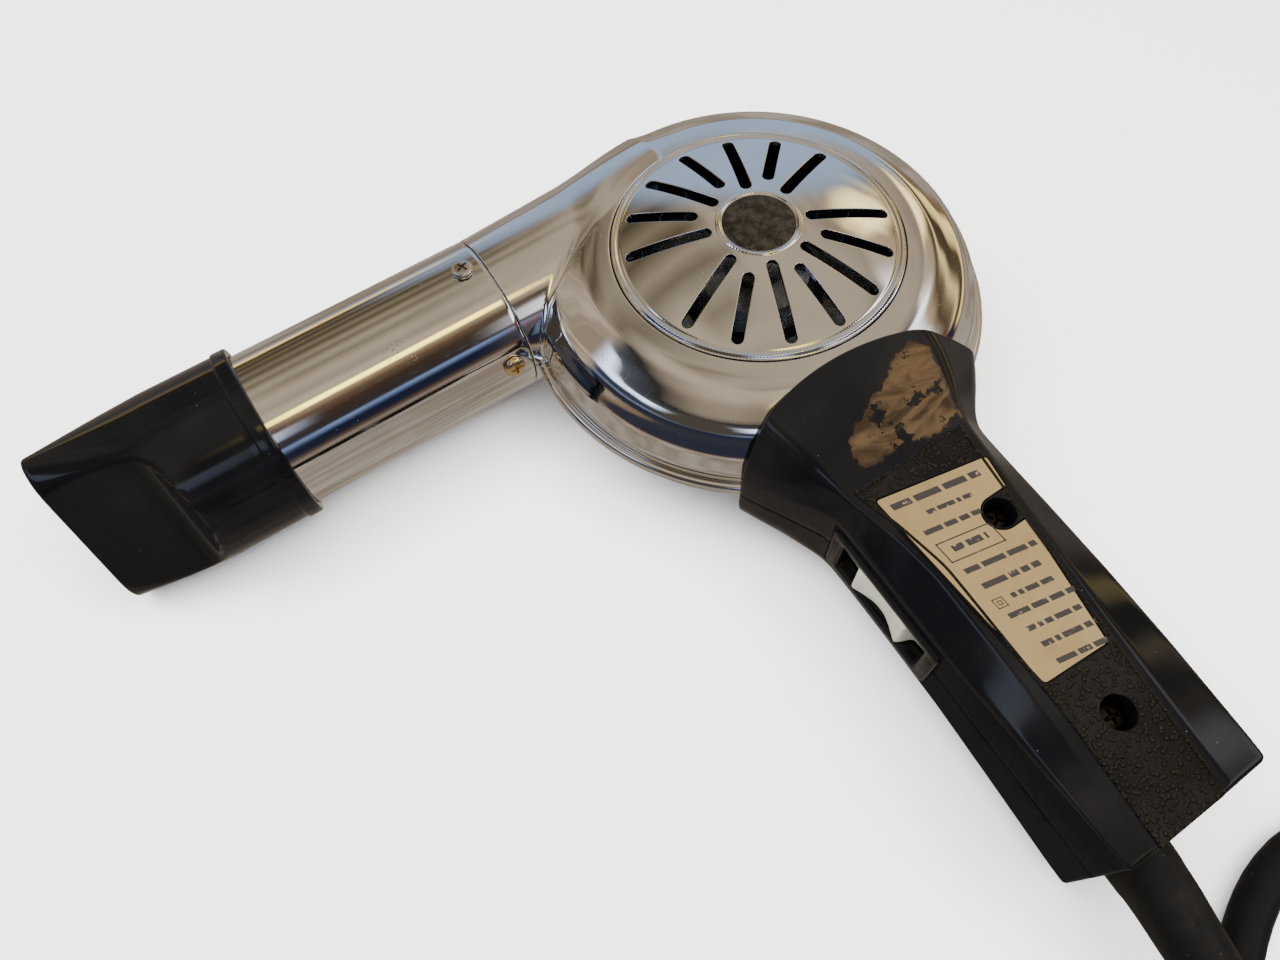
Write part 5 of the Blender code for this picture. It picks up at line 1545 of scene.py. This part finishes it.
def handle_half(name, side, finishes):
    """One moulding, side 1 for the front and -1 for the rear: moulding, pebbled panel, duller wall."""
    grid, rows = handle_grid()
    count, columns = grid.shape[:2]
    points = grid.reshape(-1, 3)
    body = [k for k, row in enumerate(rows) if row[2] == "body"]
    top_row = next(k for k in body if rows[k][0] < FLAT_FROM)
    end_row = next(k for k in body if rows[k][0] < FLAT_TO)
    faces, picks = [], []
    for row in range(count - 1):
        for col in range(columns - 1):
            flat = FIRST_FLAT <= col < LAST_FLAT and top_row <= row < end_row
            middle = (rows[row][0] + rows[row + 1][0]) / 2 if rows[row][2] == "body" else 0
            window = col < WINDOW_COLUMN and WINDOW[0] < middle < WINDOW[1]
            if flat or window:
                continue
            a = row * columns + col
            faces.append((a, a + columns, a + columns + 1, a + 1))
            pebbled = FIRST_FLAT - 5 <= col < LAST_FLAT + 5 and middle < PEBBLES_FROM
            wall = col < 12 and middle < -66
            picks.append(1 if pebbled else 2 if wall else 0)
    ends = [row * columns + FIRST_FLAT for row in range(top_row, end_row + 1)]
    ends += [end_row * columns + c for c in range(FIRST_FLAT + 1, LAST_FLAT + 1)]
    ends += [row * columns + LAST_FLAT for row in range(end_row - 1, top_row - 1, -1)]
    ends += [top_row * columns + c for c in range(LAST_FLAT - 1, FIRST_FLAT, -1)]
    level = PANEL_MM - 0.07
    holes = [circle_loop(x, y, SCREW_HOLE_R) for x, y in HANDLE_SCREWS]
    bottoms = [SCREW_FLOORS[side]] * len(holes)
    if side > 0:
        holes.append(plate_outline(0.55))
        bottoms.append(PLATE_FLOOR)
    shapes = [(points, faces), flat_patch(points[ends][:, :2], holes, level)]
    shapes += [sunk_loop(hole, level, bottom) for hole, bottom in zip(holes, bottoms)]
    if side > 0:
        wall, around = shapes[-1][0], len(holes[-1])
        shapes.append(flat_patch(wall[4 * around:5 * around, :2], [], PLATE_FLOOR, 3.0))
    shapes.append((points[-columns:], [tuple(range(columns - 1, -1, -1))]))
    picks += [1] * len(shapes[1][1]) + [0] * sum(len(some) for _, some in shapes[2:])
    points, faces = joined(*shapes)
    if side < 0:
        points = points * [1, 1, -1] + [0, 0, 2 * SEAM_MM]
        faces = [f[::-1] for f in faces]
    piece(f"{name}_moulding", (points, faces), finishes, stands_for=(name,),
          picks=picks, share=worn_share(points) if side > 0 else None, sharp=50)


def rating_plate(brass, ink):
    """The brass sheet with its edge, and the print on it."""
    loop = plate_outline(0.0)
    top = PANEL_MM - 0.12
    rows = [level_loop(loop, level) for level in (top, PANEL_MM - 0.6)]
    edge = skinned(rows, flip=True)
    piece("rating_plate_sheet", joined(flat_patch(loop, [], top), edge), [brass],
          stands_for=("rating_plate",), sharp=40)
    piece("rating_plate_print", plate_marks(top + 0.015), [ink], sharp=30)


def plate_marks(level):
    """Generic print: rows of bars and blocks, a framed row and a small square mark."""
    dice = np.random.default_rng(7)
    across = Vector((25.9, -4.9)).normalized()
    down = Vector((0.02, -1.0)).normalized()
    corner = Vector(PLATE_CORNERS[0])
    points, faces = [], []

    def block(u, v, wide, tall):
        first = len(points)
        for du, dv in ((0, 0), (wide, 0), (wide, tall), (0, tall)):
            spot = corner + across * (u + du) + down * (v + dv)
            points.append((spot.x, spot.y, level))
        faces.append((first, first + 3, first + 2, first + 1))

    def frame_box(u, v, wide, tall, line):
        block(u, v, wide, line)
        block(u, v + tall - line, wide, line)
        block(u, v, line, tall)
        block(u + wide - line, v, line, tall)

    rows = (  # distance down the plate, start, end, height of the marks
        (1.7, 1.6, 23.6, 2.5),
        (5.9, 6.8, 17.5, 1.7),
        (9.8, 3.0, 16.5, 1.9),
        (14.9, 5.2, 13.6, 2.4),
        (20.4, 3.6, 20.4, 2.0),
        (24.5, 4.2, 17.8, 2.1),
        (28.5, 7.4, 18.4, 1.8),
        (32.0, 3.8, 19.9, 1.9),
        (35.7, 4.8, 18.0, 1.8),
        (39.4, 4.8, 17.9, 1.9),
        (43.4, 4.6, 18.6, 1.8),
    )
    for v, start, end, tall in rows:
        u = start + 0.02 * v
        while u < end - 0.5:
            wide = min(tall * dice.uniform(0.5, 2.6), end - u)
            block(u, v + 0.10 * tall, wide, tall * 0.62)
            u += wide + tall * 0.34
    frame_box(3.2, 13.6, 12.6, 5.0, 0.3)
    frame_box(3.9, 28.5, 2.3, 2.3, 0.22)
    frame_box(4.55, 29.15, 1.0, 1.0, 0.2)
    return np.array(points), faces


# ---------------------------------------------------------------- switch

WALL_SLANT = math.radians(2.1)  # of the handle's wall beside the switch
CORNERS = ((1, 1, 0), (-1, 1, 90), (-1, -1, 180), (1, -1, 270))  # sides and the start of each turn


def switch_frame():
    """The switch's placement: X down the handle, Z out of its wall."""
    down = Vector((-math.sin(WALL_SLANT), -math.cos(WALL_SLANT), 0))
    out = Vector((-math.cos(WALL_SLANT), math.sin(WALL_SLANT), 0))
    turn = Matrix((down, out.cross(down), out)).transposed().to_4x4()
    return Matrix.Translation((-27.6, -84.0, SEAM_MM)) @ turn


def rounded_box_loop(half_x, half_y, radius):
    loop = []
    for sx, sy, start in CORNERS:
        for a in np.radians(np.linspace(start, start + 90, 9)):
            loop.append((sx * (half_x - radius) + radius * math.cos(a),
                         sy * (half_y - radius) + radius * math.sin(a)))
    return np.array(loop)


def bezel(finish):
    """The frame round the thumb piece: a rounded rim with a sunk opening."""
    outer = [(17.3, 7.6, 1.2, -2.4), (17.3, 7.6, 1.2, 0.35), (17.22, 7.52, 1.15, 0.6),
             (17.0, 7.3, 1.1, 0.82), (16.7, 7.0, 1.0, 0.9)]
    inner = [(14.4, 5.9, 1.5, 0.9), (14.0, 5.5, 1.3, 0.82), (13.7, 5.2, 1.1, 0.55), (13.55, 5.05, 1.0, 0.2),
             (13.5, 5.0, 1.0, -2.4)]
    rows = [level_loop(rounded_box_loop(half_x, half_y, radius), level)
            for half_x, half_y, radius, level in outer + inner]
    shape = skinned(rows)
    ribs = []
    for end in (-1, 1):
        for k in range(3):
            x = end * (15.0 + 0.62 * k)
            ribs.append(bar_shape((x, 0, 0.92), (0.2, 4.6 - 0.5 * k, 0.14)))
    piece("switch_bezel_frame", moved(joined(shape, *ribs), switch_frame()), [finish],
          stands_for=("switch_bezel",), sharp=45)


def bar_shape(centre, half):
    """A small bar with a rounded top."""
    rows = []
    for grow, level in ((1.0, -1.0), (1.0, 0.2), (0.75, 0.8), (0.3, 1.0)):
        hx, hy = half[0] * grow, half[1] - half[0] * (1 - grow)
        rows += [(centre[0] + sx * hx, centre[1] + sy * hy, centre[2] + half[2] * level)
                 for sx, sy in ((-1, -1), (1, -1), (1, 1), (-1, 1))]
    return np.array(rows), [*grid_faces(4, 4, wrap=True, flip=True), (12, 13, 14, 15)]


# half the thumb piece's side view: (place, height)
THUMB_OUTLINE = ((-17.5, -2.8), (-9.7, -2.8), (-9.0, -2.0), (-7.9, 1.0), (-7.2, 1.38), (-6.3, 0.95),
                 (-4.0, 0.0), (-2.0, -0.62), (0.0, -0.8))


def slider(finish):
    """The cream thumb piece: two worn peaks with a saddle between, on a flat strip."""
    half = np.array(THUMB_OUTLINE)
    line = np.vstack([half, half[-2::-1] * [-1, 1]])
    fine = [line[0]]
    for a, b in zip(line, line[1:]):
        fine += [a + (b - a) * t for t in np.linspace(0, 1, 7)[1:]]
    fine = softened(np.array(fine), 5)
    rows = []
    half = ((4.4, 5.0), (4.4, 0.5), (4.28, 0.2), (4.0, 0.03), (3.0, 0.0))  # (place, how sunk)
    for y, sunk in [*((-y, sunk) for y, sunk in half), (0.0, 0.0), *half[::-1]]:
        level = np.maximum(fine[:, 1] - sunk, -4.15)
        rows.append(np.column_stack([fine[:, 0], np.full(len(fine), y), level]))
    shape = skinned(rows, wrap=False, flip=True)
    piece("switch_thumb", moved(shape, switch_frame()), [finish], body="switch_slider",
          stands_for=("switch_slider",), sharp=50)


def ribbon(points, half, level):
    """A raised stroke along a flat line, with a rounded top."""
    line = np.array(points, float)
    ahead = unit_rows(np.gradient(line, axis=0))
    side = np.stack([-ahead[:, 1], ahead[:, 0]], 1)
    rows = [level_loop(line + side * half * s, level * h)
            for s, h in ((-1, 0), (-0.6, 0.8), (0, 1), (0.6, 0.8), (1, 0))]
    return skinned(rows, wrap=False, flip=True)


def digits(finish):
    """The three positions' numbers, moulded on the slope beside the switch."""
    oval = [(0.75 * math.cos(a), 1.15 * math.sin(a)) for a in np.linspace(0, 2 * np.pi, 24)]
    one = [(-0.45, 0.6), (0.0, 1.15), (0.0, 0.4), (0.0, -0.4), (0.0, -1.15)]
    two = [(0.72 * math.cos(a), 0.45 + 0.7 * math.sin(a)) for a in np.radians(np.linspace(170, -30, 14))]
    two += [(0.1, -0.45), (-0.75, -1.15), (0.0, -1.15), (0.8, -1.15)]
    shapes = []
    for stroke, y in ((oval, -75.5), (one, -84.5), (two, -93.5)):
        left, left_h, panel_l, panel_h = (float(np.interp(y, STATION_Y, c)) for c in STATION_COLUMNS[:4])
        low, high = Vector((left, y, SEAM_MM + left_h)), Vector((panel_l, y, SEAM_MM + panel_h))
        up = (high - low).normalized()
        along = Vector((0, -1, 0))
        out = along.cross(up)
        if out.x > 0:
            out = -out
        turn = Matrix((along, up, out)).transposed().to_4x4()
        middle = low.lerp(high, 0.50)
        shapes.append(moved(ribbon(stroke, 0.17, 0.14), Matrix.Translation(middle) @ turn))
    piece("switch_digits", joined(*shapes), [finish], sharp=60)


# ---------------------------------------------------------------- sleeve, plug and tie


def swept(route, radii):
    """A round piece along a route in metres whose radius, in millimetres, changes."""
    line = route / MM
    ahead = unit_rows(np.gradient(line, axis=0))
    side = unit_rows(np.cross(ahead, [0, 0, 1.0]))
    up = np.cross(side, ahead)
    turns = full_turn(56)
    rows = [p + r * (np.cos(turns)[:, None] * s + np.sin(turns)[:, None] * u)
            for p, r, s, u in zip(line, radii, side, up)]
    return np.vstack(rows), capped_faces(len(rows), len(turns), flip=False)


def capped_faces(rows, cols, flip):
    """The faces of rings joined into a round piece, with a cap at each end."""
    first = tuple(range(cols))
    last = tuple(range((rows - 1) * cols, rows * cols))
    caps = [first[::-1], last] if flip else [first, last[::-1]]
    return grid_faces(rows, cols, wrap=True, flip=flip) + caps


SLEEVE_ROUTE = (
    (-0.0205, -0.1482, 0.0231),
    (-0.0212, -0.1570, 0.0224),
    (-0.0221, -0.1660, 0.0207),
    (-0.0226, -0.1760, 0.0184),
    (-0.0227, -0.1860, 0.0161),
    (-0.0226, -0.1950, 0.0139),
)


def sleeve(finish):
    """The strain relief: a taper with a collar, a small step after it and a rounded tip."""
    line = even_line(smooth_line(SLEEVE_ROUTE, 12), 0.0005)
    s = np.linspace(0, 1, len(line))
    radii = (6.75 - 1.9 * s) * (0.93 + 0.07 * smooth_share(s, 0.0, 0.012))
    radii += 0.12 * (1 - smooth_share(s, 0.10, 0.125))
    radii -= 0.35 * smooth_share(s, 0.985, 1.0)
    piece("cord_sleeve_rubber", swept(line, radii), [finish], stands_for=("cord_sleeve",),
          sharp=60)


def plug(body_finish, pin_finish):
    """The flat two-pin plug, its Z along the cord's last stretch."""
    end = tail_points()[-1]
    ahead = Vector((-math.cos(TAIL_TURN), math.sin(TAIL_TURN), 0.0))
    side = Vector((0, 0, 1)).cross(ahead)
    turn = Matrix((side, ahead.cross(side), ahead)).transposed().to_4x4()
    place = Matrix.Translation(end / MM) @ turn
    length = 40.0
    sections = np.array([(0.6, 4.7, 4.7), (11, 5.6, 5.4), (15, 9.6, 5.95), (24, 12.6, 6.05), (32, 12.8, 6.1),
                         (length, 12.7, 6.0)])
    heights = np.linspace(0.6, length, 60)
    wide, deep = (softened(np.interp(heights, sections[:, 0], sections[:, k]), 8) for k in (1, 2))
    for k in range(1, 6):
        grip = np.abs(heights - 17 - 2.6 * k) < 0.7
        deep = np.where(grip, deep - 0.35, deep)
    rows = list(zip(heights, wide, deep))
    for lean in np.radians([20, 45, 70, 90]):
        inward = 1 - math.cos(lean)
        rows.append((length + math.sin(lean), wide[-1] - inward, deep[-1] - inward))
    turns = full_turn(72)
    points = np.vstack([level_ring(w, h, turns, d) for h, w, d in rows])
    shape = (points, capped_faces(len(rows), len(turns), flip=True))
    piece("plug_moulding", moved(shape, place), [body_finish], stands_for=("plug_body",),
          sharp=40)
    profile = [(0.01, 41.3), (1.9, 41.3), (1.9, 58.2), (1.8, 59.0), (1.4, 59.5), (0.8, 59.7), (0.01, 59.7)]
    for number, x in enumerate((-8.0, 8.0), start=1):
        pin = moved(revolved(profile, 40), place @ Matrix.Translation((x, 0, 0)))
        piece(f"plug_pin_{number}_rod", pin, [pin_finish], stands_for=(f"plug_pin_{number}",),
              sharp=40)


def tie(finish):
    """The rubber band round the coil's bundle."""
    half_wide, low, high = 12.95, 0.15, 16.85
    outline, normals = [], []
    for sx, sy, start in CORNERS:
        r = 3.6 if sy > 0 else 1.2
        cx, cy = sx * (half_wide - r), (high - r if sy > 0 else low + r)
        for a in np.radians(np.linspace(start, start + 90, 12)):
            outline.append((cx + r * math.cos(a), cy + r * math.sin(a)))
            normals.append((math.cos(a), math.sin(a)))
    outline, normals = np.array(outline), np.array(normals)
    rows = []
    half = ((2.6, 0.85), (3.0, 0.5), (3.0, 0.3), (2.8, 0.08), (2.3, 0.0), (0.7, 0.0))  # (place, how sunk)
    for x, sunk in [*((-x, sunk) for x, sunk in half), (0.0, 0.1), *half[::-1]]:
        ring = outline - normals * sunk
        rows.append(np.column_stack([np.full(len(ring), x), ring]))
    shape = skinned(rows)
    centre = COIL_CENTRE / MM
    place = Matrix.Translation((centre.x, centre.y + COIL_R / MM, 0))
    piece("cord_tie_band", moved(shape, place), [finish], stands_for=("cord_tie",), sharp=60)


def mains_cord(finish):
    """Lead, coil and tail as one round cord."""
    points = softened(even_line(cord_line(), 0.004), 4)
    data = bpy.data.curves.new("mains_cord", "CURVE")
    data.dimensions = "3D"
    data.bevel_depth = CORD_R
    data.bevel_resolution = 6
    data.use_fill_caps = True
    spline = data.splines.new("POLY")
    spline.points.add(len(points) - 1)
    for spot, point in zip(spline.points, points, strict=True):
        spot.co = (*point, 1.0)
    data.materials.append(finish)
    thing = placed("mains_cord", data)
    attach(thing, "dryer")
    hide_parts("power_cord", "cord_coil", "cord_tail")


# ---------------------------------------------------------------- everything together


def dress():
    """Builds every new piece and gives each carried-over node its finish."""
    plating = chrome()
    moulding = bakelite()
    saddle = bakelite("bakelite_worn", worn_patch)
    grain = pebble()
    wall = satin()
    sooty = rubber("sleeve_rubber", (0.0035, 0.0032, 0.003), (0.020, 0.015, 0.011), 0.6)
    cord_rubber = rubber("cord_rubber", (0.003, 0.0028, 0.0028), (0.011, 0.0085, 0.0065), 0.35)
    steel = metal("nickel_steel", (0.58, 0.54, 0.48), 0.22, (0.10, 0.06, 0.03), 0.45)
    yellow = metal("screw_brass", (0.72, 0.55, 0.30), 0.25, (0.12, 0.07, 0.03), 0.4)
    brass = metal("brass", (0.74, 0.58, 0.33), 0.30, (0.22, 0.14, 0.06), 0.5)
    cream = moulded("cream", (0.36, 0.35, 0.28), (0.20, 0.19, 0.14), 0.36, 0.05)
    band = rubber("tie_rubber", (0.03, 0.03, 0.032), (0.08, 0.07, 0.06), 0.4)
    housing(plating)
    grille(plating, badge_metal())
    rear_cover(plating)
    tube(plating)
    nozzle(moulding)
    # near-black steel for the handle's screw heads: painted shade of their deep holes
    screws(steel, yellow, metal("sooted_steel", (0.05, 0.042, 0.035), 0.45, (0.02, 0.012, 0.008), 0.7))
    handle_half("handle_front", 1, [saddle, grain, wall])
    handle_half("handle_rear", -1, [moulding, grain, wall])
    rating_plate(plate_brass(), printed_ink())
    bezel(moulding)
    slider(cream)
    digits(moulding)
    sleeve(sooty)
    plug(cord_rubber, brass)
    tie(band)
    mains_cord(cord_rubber)
    zinc = metal("zinc", (0.50, 0.51, 0.53), 0.34, (0.20, 0.19, 0.17), 0.5)
    finishes = {
        "chrome": plating,
        "bakelite": moulding,
        "rubber": cord_rubber,
        "brass": brass,
        "steel": steel,
        "zinc": zinc,
        "bronze": metal("bronze", (0.50, 0.34, 0.20), 0.45, (0.16, 0.10, 0.05), 0.5),
        "copper": metal("copper", (0.58, 0.24, 0.11), 0.32, (0.20, 0.08, 0.04), 0.4, (1.0, 9.0, 9.0)),
        "lamination": metal("lamination", (0.24, 0.25, 0.27), 0.42, (0.10, 0.08, 0.06), 0.5, (1, 1, 12.0)),
        "aluminium": metal("aluminium", (0.30, 0.34, 0.40), 0.30, (0.16, 0.15, 0.14), 0.5),
        "mica": moulded("mica", (0.58, 0.48, 0.33), (0.40, 0.30, 0.18), 0.5),
        "resistance": metal("resistance", (0.38, 0.35, 0.33), 0.4, (0.16, 0.12, 0.10), 0.5),
        "cream": cream,
        "phenolic": moulded("phenolic", (0.10, 0.055, 0.03), (0.05, 0.03, 0.02), 0.45),
        "tie": band,
    }
    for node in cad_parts.values():
        if node.hide_render:
            continue
        for place in node.material_slots:
            kind = place.material.name.split(".")[0]
            place.material = finishes.get(kind, zinc)


dress()
